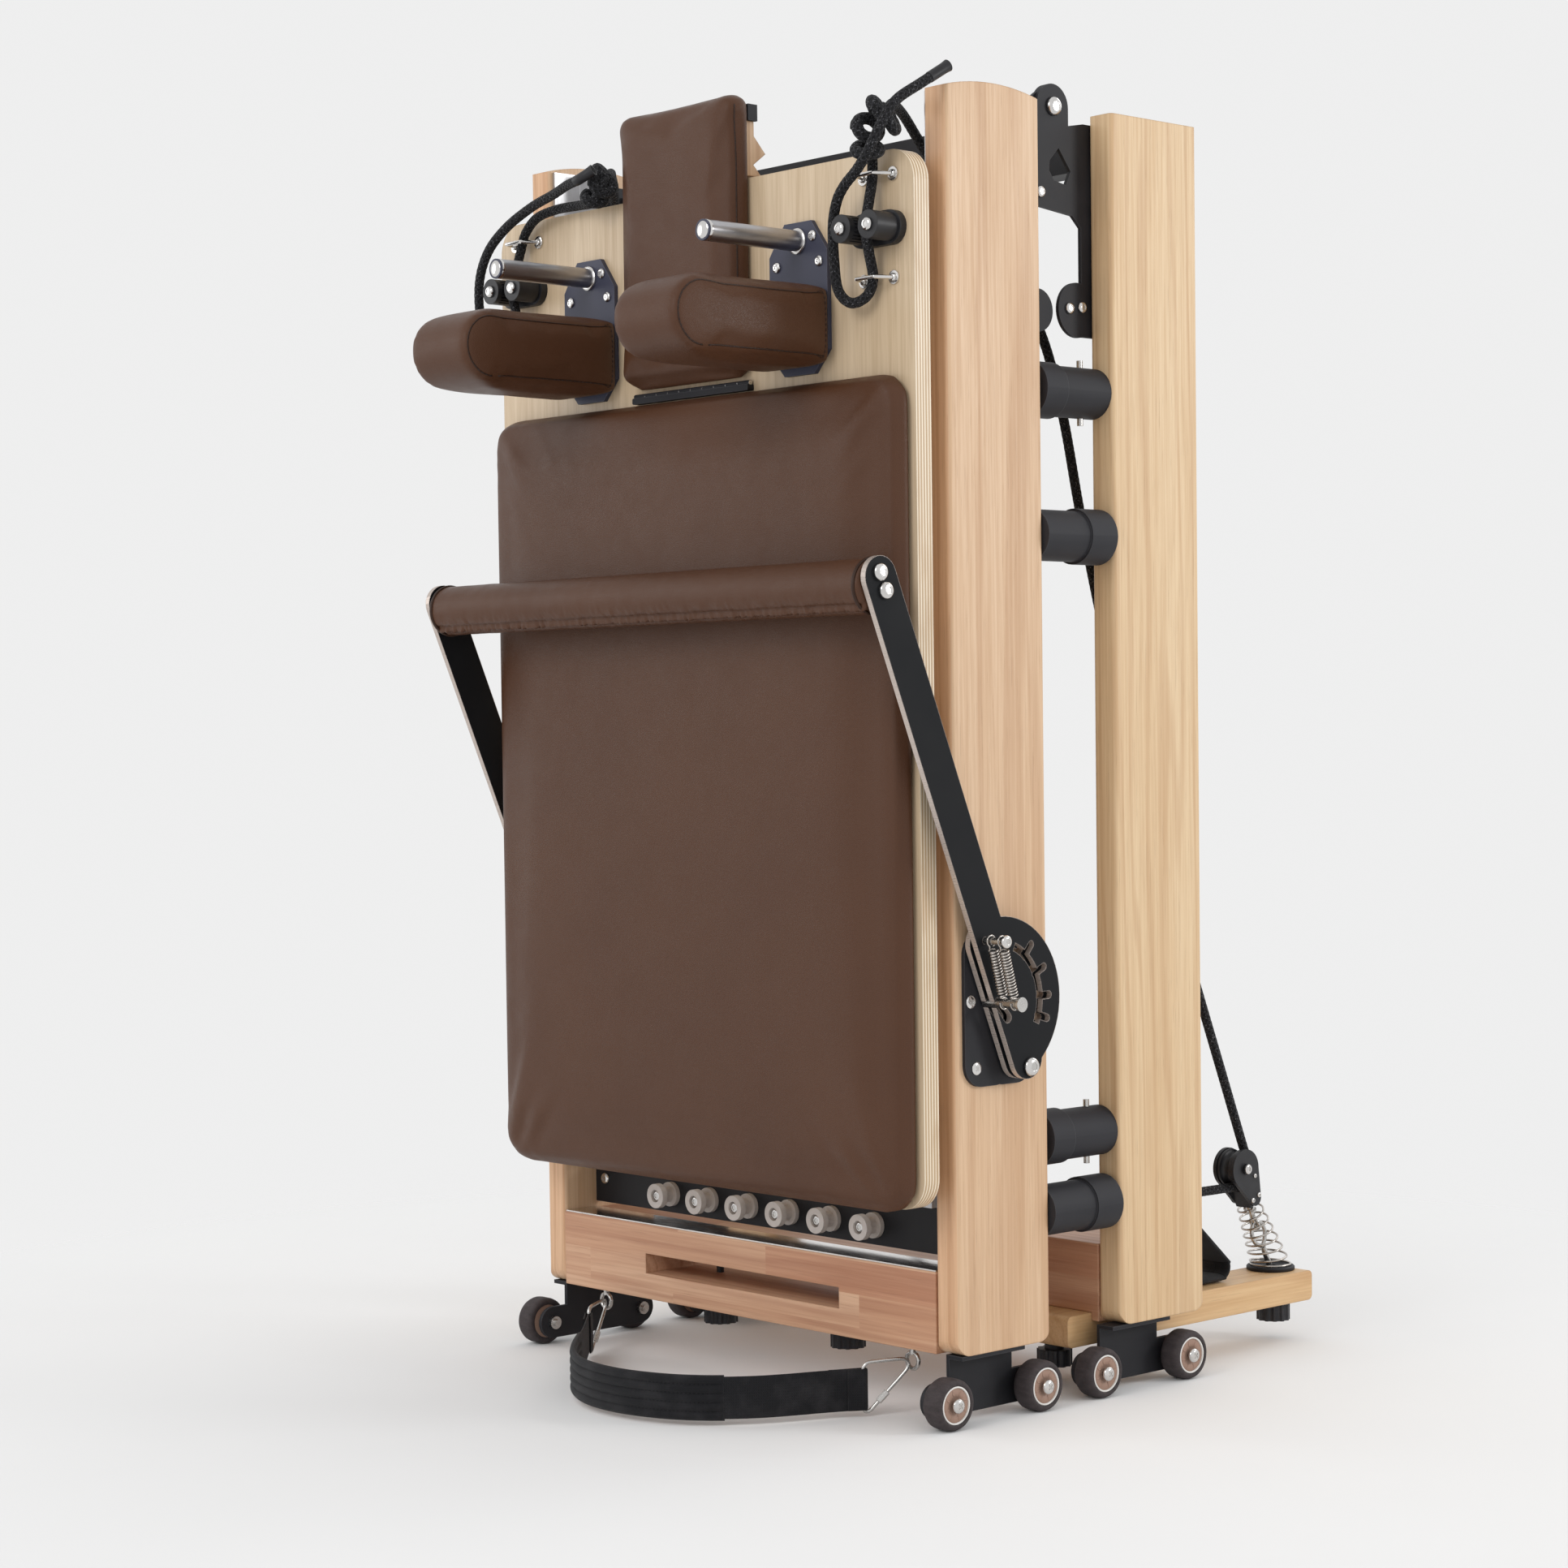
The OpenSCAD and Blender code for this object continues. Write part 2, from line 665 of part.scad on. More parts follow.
module headrest() home() color(leather) yz(-headrest_w / 2, headrest_w)
    polygon([[board_face - 0.5, headrest_z], [board_face - 8, headrest_z],
        [cushion_face, headrest_z + 16], [cushion_face, headrest_top],
        [board_face - 0.5, headrest_top]]);

prop_x = 68;
prop_w = 14;
prop_pin = [board_face + 5, 1203];

module headrest_bracket() home() color(black_steel) {
    for (x = [prop_x - 4, prop_x + prop_w + 0.5])
        translate([x, board_face - 0.5, prop_pin[1] - 8]) cube([3.5, 12, 16]);
    rod_x(prop_x - 2, prop_x + prop_w + 2, prop_pin, 2.5);
}

// Wooden stick with notches along its back edge.
module headrest_prop() home() color(wood) difference() {
    yz(prop_x, prop_w) polygon([[board_face + 0.5, board_top + 3], [board_face + 20, board_top + 3],
        [board_face + 9, board_top + 14], [board_face + 25, board_top + 26],
        [board_face + 10, board_top + 42], [board_face + 10, prop_pin[1] + 3],
        [board_face + 0.5, prop_pin[1] + 3]]);
    rod_x(prop_x - 1, prop_x + prop_w + 1, prop_pin, 2.5 + run);
}

// -------------------------------------------------------------- rear frame

module rear_rails() home() color(wood) difference() {
    both() rail(rear_y, 0);
    rear_bolts();
}

module post_blank() translate([post_x, post_y, post_z]) cube([post_w, post_end - post_y, post_h]);

module rear_end_board() home() color(wood) difference() {
    translate([-x_in, rear_y, 0]) cube([2 * x_in, end_board_d, end_board_h]);
    both() post_blank();
}

module rear_cross_tie() home() color(black_steel)
    translate([-rear_plate_x, rear_y + 6, 1150]) cube([2 * rear_plate_x, 30, 30]);

module rear_tracks() home() color(steel)
    both() track(back_y - track_ledge_y - track_t, back_y - track_ledge_y - 8);

module posts() home() color(wood) difference() {
    both() intersection() {
        post_blank();
        yz(post_x - eps, post_w + 2 * eps)
            translate([post_y, post_z]) rounded(post_end - post_y, post_h, 6);
    }
    both() for (y = foot_ys) rod_z(post_z - eps, post_z + 16, [foot_x, y], axle_r + 0.3);
    both() rod_z(post_top - 8, post_top + eps, [rope_x, disc_at[0]], 4);
}

module rear_legs() home() color(black_steel) difference() {
    both() for (z = rear_leg_zs) leg(rear_leg_x, z, rail_d + 8, rear_y);
    rear_bolts();
}

module rear_hinge_plates() home() color(black_steel) difference() {
    both() yz(rear_plate_x, hinge_plate_t) difference() {
        union() {
            translate([hinge_y, hinge_z]) circle(lobe_r);
            polygon([[hinge_y - lobe_r, hinge_z], [hinge_y - lobe_r, 1106], [206, 1101],
                [218, 1090], [218, 983], [300, 983], [300, 1192], [222, 1192],
                [hinge_y + lobe_r, 1188], [hinge_y + lobe_r, hinge_z]]);
            translate([212, 1009]) circle(27);
        }
        polygon([[187, 1165], [174, 1152], [173, 1142], [180, 1133], [197, 1130], [204, 1144]]);
        translate([hinge_y, hinge_z]) circle(hinge_bolt_r + run);
    }
    rear_bolts();
}

module rear_wheel_plates() home() color(black_steel) difference() {
    both() wheel_plate(rear_axle_ys);
    rear_bolts();
}

// All bolts, screws and pins fixed to the rear frame.
module rear_bolts() both() {
    for (y = rear_axle_ys) axle_bolt(y);
    for (p = [[160, 1120], [200, 1010], [218, 1012]])
        bolt_x([x_in, p[0], p[1]], 2.5, 5.5, 3, hinge_plate_t);
    for (z = rear_leg_zs) rod_z(z - leg_r - 7, z + leg_r + 7, [rear_leg_x, 211], 3);
}

module rear_fasteners() home() color(steel) rear_bolts();

// Places children on the leaning pulley: origin at the sheave, -Z towards the mount.
module on_pulley() translate([rope_x, sheave_at[0], sheave_at[1]]) rotate([block_lean, 0, 0])
    children();

module pulley_mounts() home() color(steel) both() {
    rod_z(post_top, post_top + 5, [rope_x, disc_at[0]], 26);
    rod_z(post_top - 7, post_top, [rope_x, disc_at[0]], 4);
    on_pulley() {
        translate([0, 0, -126]) cylinder(h = 81, r = 4);
        difference() {
            translate([0, 0, -108]) cylinder(h = 58, r1 = 22, r2 = 14);
            translate([0, 0, -109]) cylinder(h = 60, r1 = 20, r2 = 12);
        }
    }
}

module cheek_outline() {
    circle(21);
    translate([0, -36]) circle(9);
    polygon([[-20.4, -5], [20.4, -5], [8.7, -38], [-8.7, -38]]);
}

module pulley_blocks() home() color(black_steel) both() on_pulley() {
    difference() {
        for (x = [-14, 10]) translate([x, 0, 0]) rotate([90, 0, 90]) linear_extrude(4) cheek_outline();
        rotate([0, 90, 0]) cylinder(h = 40, r = axle_r, center = true);
    }
    translate([-10, -8, -45]) cube([20, 16, 20]);
    rotate([0, 90, 0]) cylinder(h = 28, r = axle_r, center = true);
    translate([14, 0, 0]) rotate([0, 90, 0]) cylinder(h = 3, r = 6);
}

module pulley_sheaves() home() color("#444448") both() on_pulley() rotate([0, 90, 0])
    rotate_extrude() difference() {
        translate([axle_r + run, -9]) square([sheave_r - axle_r - run, 18]);
        translate([sheave_groove_r + 6, 0]) circle(6);
        translate([sheave_groove_r + 5.9, -6]) square([10, 12]);
    }

// Padded hand loop that lies on the post; the rope ends in its upper corner.
module loop_2d(shrink) hull() {
    translate([386, 88]) circle(12 - shrink, $fn = 32);
    translate([454, 24]) circle(15 - shrink, $fn = 32);
    translate([372, 22]) circle(13 - shrink, $fn = 32);
}

module hand_straps() home() color(black_rope) both() yz(rope_x - 20, 40) difference() {
    loop_2d(0);
    loop_2d(8);
}

module foot(y) {
    difference() {
        rod_z(post_z - 23, post_z - 6, [foot_x, y], 18);
        for (a = [0:30:330]) translate([foot_x, y, post_z - 24]) rotate(a) translate([19.5, 0, 0])
            cylinder(h = 20, r = 3.5);
    }
    rod_z(post_z - 8, post_z - 0.5, [foot_x, y], 10);
    rod_z(post_z - 2, post_z + 14, [foot_x, y], axle_r);
}

module feet_near() home() color(black_steel) both() foot(foot_ys[0]);
module feet_far() home() color(black_steel) both() foot(foot_ys[1]);

// ------------------------------------------------------------------ wheels

module wheel(y) translate([wheel_x0, y, -axle_drop]) rotate([0, 90, 0]) rotate_extrude() {
    w = wheel_x1 - wheel_x0;
    difference() {
        translate([axle_r + run, 0]) square([wheel_r - axle_r - run, w]);
        for (s = [0, w]) translate([wheel_r, s]) rotate(45) square(4, center = true);
        translate([axle_r + 5, w - 1.5]) square([8, 2]);
    }
}

module wheels_front_outer() home() color("#463E3C") both() wheel(front_axle_ys[0]);
module wheels_front_inner() home() color("#463E3C") both() wheel(front_axle_ys[1]);
module wheels_rear_inner() home() color("#463E3C") both() wheel(rear_axle_ys[0]);
module wheels_rear_outer() home() color("#463E3C") both() wheel(rear_axle_ys[1]);

// ------------------------------------------------------------------- ropes

function mirrored(route) = [for (p = route) [-p[0], p[1], p[2]]];

module rope_right_rear() home() color(black_rope) tube(rope_rear_route, rope_r);
module rope_left_rear() home() color(black_rope) tube(mirrored(rope_rear_route), rope_r);

module rope_right_carriage() home() color(black_rope) tube(rope_right_route, rope_r);
module rope_left_carriage() home() color(black_rope) tube(rope_left_route, rope_r);

front_rails();
front_end_board();
front_cross_ties();
front_tracks();
spring_bar();
spring_spools();
guard_sheet();
front_legs();
front_hinge_plates();
footbar_base_plates();
front_wheel_plates();
front_fasteners();
strap_rings();
foot_strap();
clamp_knobs();
footbar_arms();
footbar_tube();
footbar_roll();
footbar_fasteners();
latch_springs();
latch_pins();
carriage_board();
mattress();
shoulder_pads();
shoulder_brackets();
cleat_bases();
carriage_fittings();
roller_brackets();
rollers_lower();
rollers_upper();
cam_right_outer();
cam_right_inner();
cam_left_inner();
cam_left_outer();
headrest();
headrest_bracket();
headrest_prop();
rear_rails();
rear_end_board();
rear_cross_tie();
rear_tracks();
posts();
rear_legs();
rear_hinge_plates();
rear_wheel_plates();
rear_fasteners();
pulley_mounts();
pulley_blocks();
pulley_sheaves();
hand_straps();
feet_near();
feet_far();
wheels_front_outer();
wheels_front_inner();
wheels_rear_inner();
wheels_rear_outer();
rope_right_rear();
rope_left_rear();
rope_right_carriage();
rope_left_carriage();
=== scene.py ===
"""A half-folding pilates reformer, folded and standing on its wheels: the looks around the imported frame."""
import math

import bmesh
import bpy
import numpy as np
from mathutils import Matrix, Vector, noise
from mathutils.bvhtree import BVHTree
from mathutils.geometry import convex_hull_2d


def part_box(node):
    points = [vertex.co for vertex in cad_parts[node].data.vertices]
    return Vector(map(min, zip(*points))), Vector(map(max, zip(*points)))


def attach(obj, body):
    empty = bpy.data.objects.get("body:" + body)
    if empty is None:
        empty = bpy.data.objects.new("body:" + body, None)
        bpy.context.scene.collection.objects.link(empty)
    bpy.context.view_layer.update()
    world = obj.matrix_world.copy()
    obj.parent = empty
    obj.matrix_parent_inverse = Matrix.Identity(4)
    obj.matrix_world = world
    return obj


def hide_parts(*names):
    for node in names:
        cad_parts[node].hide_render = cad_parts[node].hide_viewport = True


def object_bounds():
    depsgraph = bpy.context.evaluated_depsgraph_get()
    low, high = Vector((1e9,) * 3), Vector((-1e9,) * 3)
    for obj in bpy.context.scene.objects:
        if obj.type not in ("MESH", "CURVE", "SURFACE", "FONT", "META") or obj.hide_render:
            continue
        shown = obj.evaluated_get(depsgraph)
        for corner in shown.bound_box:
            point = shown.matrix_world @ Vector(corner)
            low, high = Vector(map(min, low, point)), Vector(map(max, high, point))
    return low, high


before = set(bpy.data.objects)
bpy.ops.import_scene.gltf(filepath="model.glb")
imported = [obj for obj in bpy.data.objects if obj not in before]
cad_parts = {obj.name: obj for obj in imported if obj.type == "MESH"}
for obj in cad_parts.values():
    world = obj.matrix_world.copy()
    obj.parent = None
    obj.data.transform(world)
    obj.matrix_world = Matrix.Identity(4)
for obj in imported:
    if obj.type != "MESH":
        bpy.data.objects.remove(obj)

CAD_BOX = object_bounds()
scene = bpy.context.scene
scene.view_settings.view_transform = "Standard"

# ------------------------------------------------------------------ places
# Millimetres in the part's own axes: x across, y back from the front rails' face, z up from the rails' feet.

MM = 0.001
RAIL_LOW, RAIL_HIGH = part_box("front_rails")
ORIGIN = Vector((0, RAIL_LOW.y, RAIL_LOW.z))
SIDES = (1, -1)                 # right, left
SIDE_NAME = {1: "right", -1: "left"}

BOARD_FACE = -42                # front face of the carriage board
CUSHION_FACE = -72
RAIL_X = 315                    # outer face of the side rails
ARM_FACE = 338                  # outer face of the footbar arms
PIVOT = (78, 274)               # footbar pivot, (y, z)
ARM_LEAN = math.radians(22.4)
ARM_BOLTS = (506, 488)
ROLL_U = 493
STUD = (18, 398)
LATCH = (34.5, 338)
SPRING_XS = (346, 360)
SHOULDER_X = 160
CLEAT_X, CLEAT_Z = 270, 1066
CAM_GAP = 37
EYE_X, EYE_ZS = 268, (1116, 1020)
HINGE = (179, 1204.5)
SHEAVE = (499, 124)
DISC_Y, POST_TOP = 556, 8
ROPE_X = 240
ROPE_R = 5
STRAP_END = (212, -28)          # where the foot strap passes round its link
LINK_TURN = math.radians(62)
BRAID_PITCH, BRAID_LOBES = 0.0066, 6

REAR_ROUTE = [
    (240, 64, 1136), (240, 110, 1095), (240, 160, 1046), (240, 208, 989), (240, 238, 911), (240, 262, 816),
    (240, 292, 710), (240, 330, 590), (240, 372, 470), (240, 420, 362), (240, 470, 244), (240, 508.5, 152),
    (240, 517, 132.5), (240, 519, 124), (240, 516.2, 114), (240, 509, 106.7), (240, 499, 104),
    (240, 470, 104), (240, 430, 104), (240, 400, 100)]
RIGHT_ROUTE = [
    (240, 61, 1138.4), (236, 42, 1164), (242, 18, 1182), (258, -10, 1187), (280, -36, 1182), (293, -55, 1171),
    (290, -63, 1155), (277, -59, 1140), (269, -51, 1125), (268, -51, 1110), (269, -56, 1092), (270, -62, 1066),
    (270, -58, 1044), (268, -51, 1020), (262, -54, 1004), (247, -60, 999), (234, -64, 1012), (231, -66, 1040),
    (231, -67, 1072), (239, -69, 1094), (252, -71, 1107), (270, -73, 1118), (285, -74, 1131), (296, -72, 1148),
    (303, -66, 1165), (307, -54, 1181), (313, -30, 1197), (319, 0, 1216)]
LEFT_ROUTE = [
    (-240, 61, 1138.4), (-226, 44, 1160), (-196, 18, 1172), (-158, -16, 1175), (-128, -42, 1172),
    (-111, -62, 1162), (-112, -72, 1147), (-130, -66, 1140), (-160, -58, 1142), (-200, -56, 1143),
    (-236, -54, 1139), (-260, -51, 1126), (-268, -51, 1110), (-269, -56, 1092), (-270, -62, 1066),
    (-270, -58, 1044), (-268, -51, 1020), (-274, -54, 1004), (-289, -60, 999), (-304, -66, 1010),
    (-313, -72, 1040), (-309, -76, 1078), (-290, -78, 1108), (-260, -76, 1130), (-220, -74, 1146),
    (-180, -76, 1154), (-148, -84, 1158), (-120, -90, 1160), (-104, -84, 1168)]
KNOT_R = 5.8
KNOTS = {                       # centre, axis, half width and half height of each turn
    1: [((286, -58, 1172), (0.74, 0.40, 0.45), 10.5, 11.5), ((295, -54, 1164), (0.76, 0.42, 0.40), 10.0, 11.5),
        ((277, -64, 1157), (0.86, -0.28, 0.30), 11.5, 10.5), ((275, -63, 1137), (0.35, -0.42, 0.84), 11.0, 10.5)],
    -1: [((-120, -58, 1166), (0.70, 0.40, 0.50), 9.5, 10.5), ((-111, -66, 1156), (0.80, -0.30, 0.30), 10.5, 10.0),
         ((-124, -66, 1144), (0.50, -0.40, 0.70), 10.0, 9.5)]}
STRAP_ROUTE = [
    (212, -28), (196, -60), (165, -125), (120, -172), (60, -196), (0, -196), (-50, -176), (-95, -140),
    (-150, -85), (-212, -28)]
STRAP_Z = (-62, -18)


def at(x, y, z):
    """A place in the frame, from millimetres in the part's own axes."""
    return ORIGIN + Vector((x, y, z)) * MM


def on_arm(u, v=0):
    """The (y, z) of a point u up the leaning footbar arm and v across it."""
    sine, cosine = math.sin(ARM_LEAN), math.cos(ARM_LEAN)
    return PIVOT[0] - u * sine + v * cosine, PIVOT[1] + u * cosine + v * sine


# --------------------------------------------------------------- materials

def rgb(red, green, blue):
    """A colour picked in sRGB, 0 to 255, as Blender's linear one."""
    return tuple(((c / 255 + 0.055) / 1.055) ** 2.4 if c > 10 else c / 3294 for c in (red, green, blue)) + (1,)


class Material:
    """A node material while it is built up."""

    def __init__(self, name, **shader):
        self.made = bpy.data.materials.new(name)
        self.made.use_nodes = True
        self.nodes = self.made.node_tree.nodes
        self.links = self.made.node_tree.links
        self.shader = self.nodes["Principled BSDF"]
        self.set(**shader)

    def set(self, **shader):
        for key, value in shader.items():
            self.feed(self.shader.inputs[key.replace("_", " ").title().replace("Ior", "IOR")], value)

    def feed(self, socket, value):
        if isinstance(value, bpy.types.NodeSocket):
            self.links.new(value, socket)
        else:
            socket.default_value = value

    def add(self, kind, inputs, **settings):
        node = self.nodes.new("ShaderNode" + kind)
        for key, value in settings.items():
            setattr(node, key, value)
        for key, value in inputs.items():
            self.feed(node.inputs[key], value)
        return node

    def coords(self, scale=(1, 1, 1), output="Object", turn=(0, 0, 0)):
        source = self.add("TexCoord", {})
        return self.add("Mapping", {"Vector": source.outputs[output], "Scale": scale, "Rotation": turn}).outputs[0]

    def noise(self, vector, scale, detail=3.0, roughness=0.5, distortion=0.0):
        return self.add("TexNoise", {"Vector": vector, "Scale": scale, "Detail": detail, "Roughness": roughness,
                                     "Distortion": distortion}).outputs["Fac"]

    def ramp(self, value, *stops):
        node = self.add("ValToRGB", {"Fac": value})
        elements = node.color_ramp.elements
        while len(elements) < len(stops):
            elements.new(0.5)
        for element, (place, colour) in zip(elements, stops):
            element.position = place
            element.color = colour if isinstance(colour, tuple) else (colour, colour, colour, 1)
        return node.outputs["Color"]

    def mix(self, share, first, second, blend="MIX"):
        node = self.add("Mix", {}, data_type="RGBA", blend_type=blend)
        self.feed(node.inputs["Factor"], share)
        self.feed(node.inputs[6], first)
        self.feed(node.inputs[7], second)
        return node.outputs[2]

    def maths(self, operation, first, second=0.0):
        node = self.add("Math", {}, operation=operation)
        self.feed(node.inputs[0], first)
        self.feed(node.inputs[1], second)
        return node.outputs[0]

    def split(self, vector):
        return self.add("SeparateXYZ", {"Vector": vector}).outputs

    def facing(self, axis):
        """1 where the surface faces along an axis of the part, 0 where it is turned away from it."""
        normal = self.split(self.add("TexCoord", {}).outputs["Normal"])[axis]
        return self.maths("GREATER_THAN", self.maths("ABSOLUTE", normal), 0.75)

    def edges(self, radius):
        """Near 1 along sharp edges and 0 on the flats: where a finish wears first, and where the footbar plates get a
        painted highlight.
        """
        rounded = self.add("Bevel", {"Radius": radius}, samples=4).outputs["Normal"]
        flat = self.add("NewGeometry", {}).outputs["Normal"]
        dot = self.add("VectorMath", {0: rounded, 1: flat}, operation="DOT_PRODUCT").outputs["Value"]
        return self.ramp(dot, (0.75, 1.0), (0.99, 0.0))

    def bump(self, height, distance, strength=1.0, radius=0.0):
        inputs = {"Height": height, "Distance": distance, "Strength": strength}
        if radius:
            inputs["Normal"] = self.add("Bevel", {"Radius": radius}, samples=4).outputs["Normal"]
        self.feed(self.shader.inputs["Normal"], self.add("Bump", inputs).outputs["Normal"])


def wood(name, grain, light, middle, dark, stave=0.0, across=2, painted_facing_shade=None, seed=0.0):
    """Rubberwood: long grain along one axis, cathedral figure, pores, and glued staves if stave is over 0. A darker,
    pinker colour can be multiplied onto the faces turned along one axis, as painted shade on those faces.
    """
    m = Material(name, roughness=0.5)
    along = [1.0, 1.0, 1.0]
    along[grain] = 0.055
    fine = [1.0, 1.0, 1.0]
    fine[grain] = 0.02
    base = m.coords()
    shift = m.add("VectorMath", {0: base, 1: (seed, seed * 1.7, seed * 0.6)}, operation="ADD").outputs[0]
    if stave:
        place = m.split(shift)
        row = m.maths("FLOOR", m.maths("DIVIDE", place[across], stave))
        joint = m.maths("DIVIDE", m.maths("ADD", place[grain], m.maths("MULTIPLY", row, 0.137)), 0.42)
        index = m.maths("ADD", m.maths("MULTIPLY", row, 7.3), m.maths("FLOOR", joint))
        chance = m.add("TexWhiteNoise", {"W": index}, noise_dimensions="1D").outputs["Value"]
        jump = m.add("CombineXYZ", {0: chance, 1: chance, 2: chance}).outputs[0]
        shift = m.add("VectorMath", {0: shift, 1: jump}, operation="ADD").outputs[0]
    stretched = m.add("Mapping", {"Vector": shift, "Scale": along}).outputs[0]
    thin = m.add("Mapping", {"Vector": shift, "Scale": fine}).outputs[0]
    warp = m.noise(stretched, 9, 3, 0.55)
    bent = m.add("VectorMath", {0: stretched, 1: m.add("VectorMath", {0: warp, 1: (0.10, 0.10, 0.10)},
                 operation="MULTIPLY").outputs[0]}, operation="ADD").outputs[0]
    rings = m.add("TexWave", {"Vector": bent, "Scale": 17.0, "Distortion": 3.2, "Detail": 3.0,
                  "Detail Scale": 1.3, "Detail Roughness": 0.6}, wave_type="RINGS",
                  rings_direction="XYZ"[grain]).outputs["Fac"]
    tone = m.noise(stretched, 22, 4, 0.6)
    fibre = m.noise(thin, 320, 3, 0.65)
    pores = m.ramp(m.noise(thin, 900, 2, 0.6), (0.30, 1.0), (0.38, 0.0))
    colour = m.mix(m.ramp(tone, (0.32, 0.0), (0.70, 1.0)), light, middle)
    colour = m.mix(m.maths("MULTIPLY", m.ramp(rings, (0.72, 0.0), (1.0, 1.0)), 0.34), colour, dark)
    colour = m.mix(m.maths("MULTIPLY", m.ramp(fibre, (0.35, 1.0), (0.62, 0.0)), 0.30), colour, dark)
    colour = m.mix(m.maths("MULTIPLY", pores, 0.22), colour, rgb(120, 78, 46))
    if stave:
        tint = m.ramp(chance, (0.0, rgb(255, 244, 234)), (0.5, rgb(244, 226, 212)), (1.0, rgb(226, 188, 166)))
        colour = m.mix(0.75, colour, tint, "MULTIPLY")
    # Painted shade: the faces turned along the given axis are multiplied by a darker, pinker colour.
    if painted_facing_shade:
        axis, tint = painted_facing_shade
        colour = m.mix(m.maths("MULTIPLY", m.facing(axis), 0.6), colour, tint, "MULTIPLY")
    colour = m.mix(m.maths("MULTIPLY", m.edges(0.0035), 0.18), colour, rgb(172, 122, 80))
    rough = m.ramp(fibre, (0.3, 0.58), (0.7, 0.42))
    m.set(base_color=colour, roughness=rough, coat_weight=0.12, coat_roughness=0.35)
    m.bump(m.maths("ADD", fibre, m.maths("MULTIPLY", pores, -0.8)), 0.00025, 0.35, 0.0016)
    return m.made


def plywood():
    """Birch ply: a pale grained face, and thin light and dark plies on its edges."""
    m = Material("birch_ply")
    low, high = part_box("carriage_board")
    thickness = high.y - low.y
    place = m.coords()
    depth = m.maths("DIVIDE", m.maths("SUBTRACT", m.split(place)[1], low.y), thickness)
    waver = m.noise(m.coords((1, 0.5, 0.15)), 60, 3, 0.6)
    layer = m.maths("FRACT", m.maths("ADD", m.maths("MULTIPLY", depth, 5.5), m.maths("MULTIPLY", waver, 0.16)))
    edge = m.ramp(layer, (0.02, rgb(132, 100, 70)), (0.08, rgb(236, 220, 194)), (0.46, rgb(240, 226, 202)),
                  (0.52, rgb(140, 108, 76)), (0.60, rgb(186, 156, 120)), (0.94, rgb(196, 168, 132)))
    edge = m.mix(m.maths("MULTIPLY", m.ramp(waver, (0.52, 0.0), (0.7, 1.0)), 0.4), edge, rgb(176, 140, 100))
    thin = m.coords((1, 1, 0.03))
    fibre = m.noise(thin, 240, 3, 0.7)
    broad = m.noise(m.coords((1, 1, 0.06)), 26, 4, 0.6)
    face = m.mix(m.ramp(broad, (0.3, 0.0), (0.72, 1.0)), rgb(214, 192, 162), rgb(198, 174, 142))
    face = m.mix(m.maths("MULTIPLY", m.ramp(fibre, (0.34, 1.0), (0.6, 0.0)), 0.42), face, rgb(168, 142, 108))
    colour = m.mix(m.facing(1), edge, face)
    m.set(base_color=colour, roughness=m.ramp(fibre, (0.3, 0.55), (0.7, 0.40)), coat_weight=0.15,
          coat_roughness=0.3)
    m.bump(m.mix(m.facing(1), layer, fibre), 0.00025, 0.5, 0.001)
    return m.made


def leather(name="leather", lift=1.0):
    """Brown upholstery: fine pebble grain, soft creases and a slightly uneven polish, with painted shade in the
    grain's grooves. A lift below 1 darkens every colour, for a shaded copy of the leather.
    """
    m = Material(name)
    place = m.coords()
    cells = m.add("TexVoronoi", {"Vector": place, "Scale": 760.0, "Randomness": 0.9},
                  feature="DISTANCE_TO_EDGE").outputs["Distance"]
    creases = m.noise(place, 34, 5, 0.62, 0.4)
    cloud = m.noise(place, 7, 3, 0.5)
    shade, pale, deep = (tuple(c * lift for c in rgb(*tone)[:3]) + (1,)
                         for tone in ((79, 50, 33), (84, 54, 36), (59, 36, 24)))
    colour = m.mix(m.ramp(cloud, (0.3, 0.0), (0.75, 1.0)), shade, pale)
    # Painted shade in the grooves between the grain's pebbles: the cell borders are darkened.
    colour = m.mix(m.maths("MULTIPLY", m.ramp(cells, (0.0, 1.0), (0.06, 0.0)), 0.35), colour, deep)
    m.set(base_color=colour, roughness=m.ramp(creases, (0.3, 0.46), (0.75, 0.34)), specular_ior_level=0.25)
    grain = m.maths("MULTIPLY", m.ramp(cells, (0.0, 0.0), (0.25, 1.0)), 0.5)
    m.bump(m.maths("ADD", grain, m.maths("MULTIPLY", creases, 1.1)), 0.00035, 0.5)
    return m.made


def painted(name, colour, roughness=0.5, worn=(120, 120, 124), bevel=0.0009, texture=1600):
    """Powder-coated steel: a fine orange-peel skin, worn a little along its edges."""
    m = Material(name)
    place = m.coords()
    peel = m.noise(place, texture, 2, 0.5)
    dust = m.noise(place, 12, 4, 0.6)
    tone = m.mix(m.ramp(dust, (0.3, 0.0), (0.8, 0.28)), colour, rgb(70, 70, 76))
    tone = m.mix(m.maths("MULTIPLY", m.edges(bevel * 1.6), 0.3), tone, rgb(*worn))
    m.set(base_color=tone, roughness=m.ramp(dust, (0.3, roughness), (0.7, roughness + 0.1)), specular_ior_level=0.3)
    m.bump(peel, 0.00006, 0.5, bevel)
    return m.made


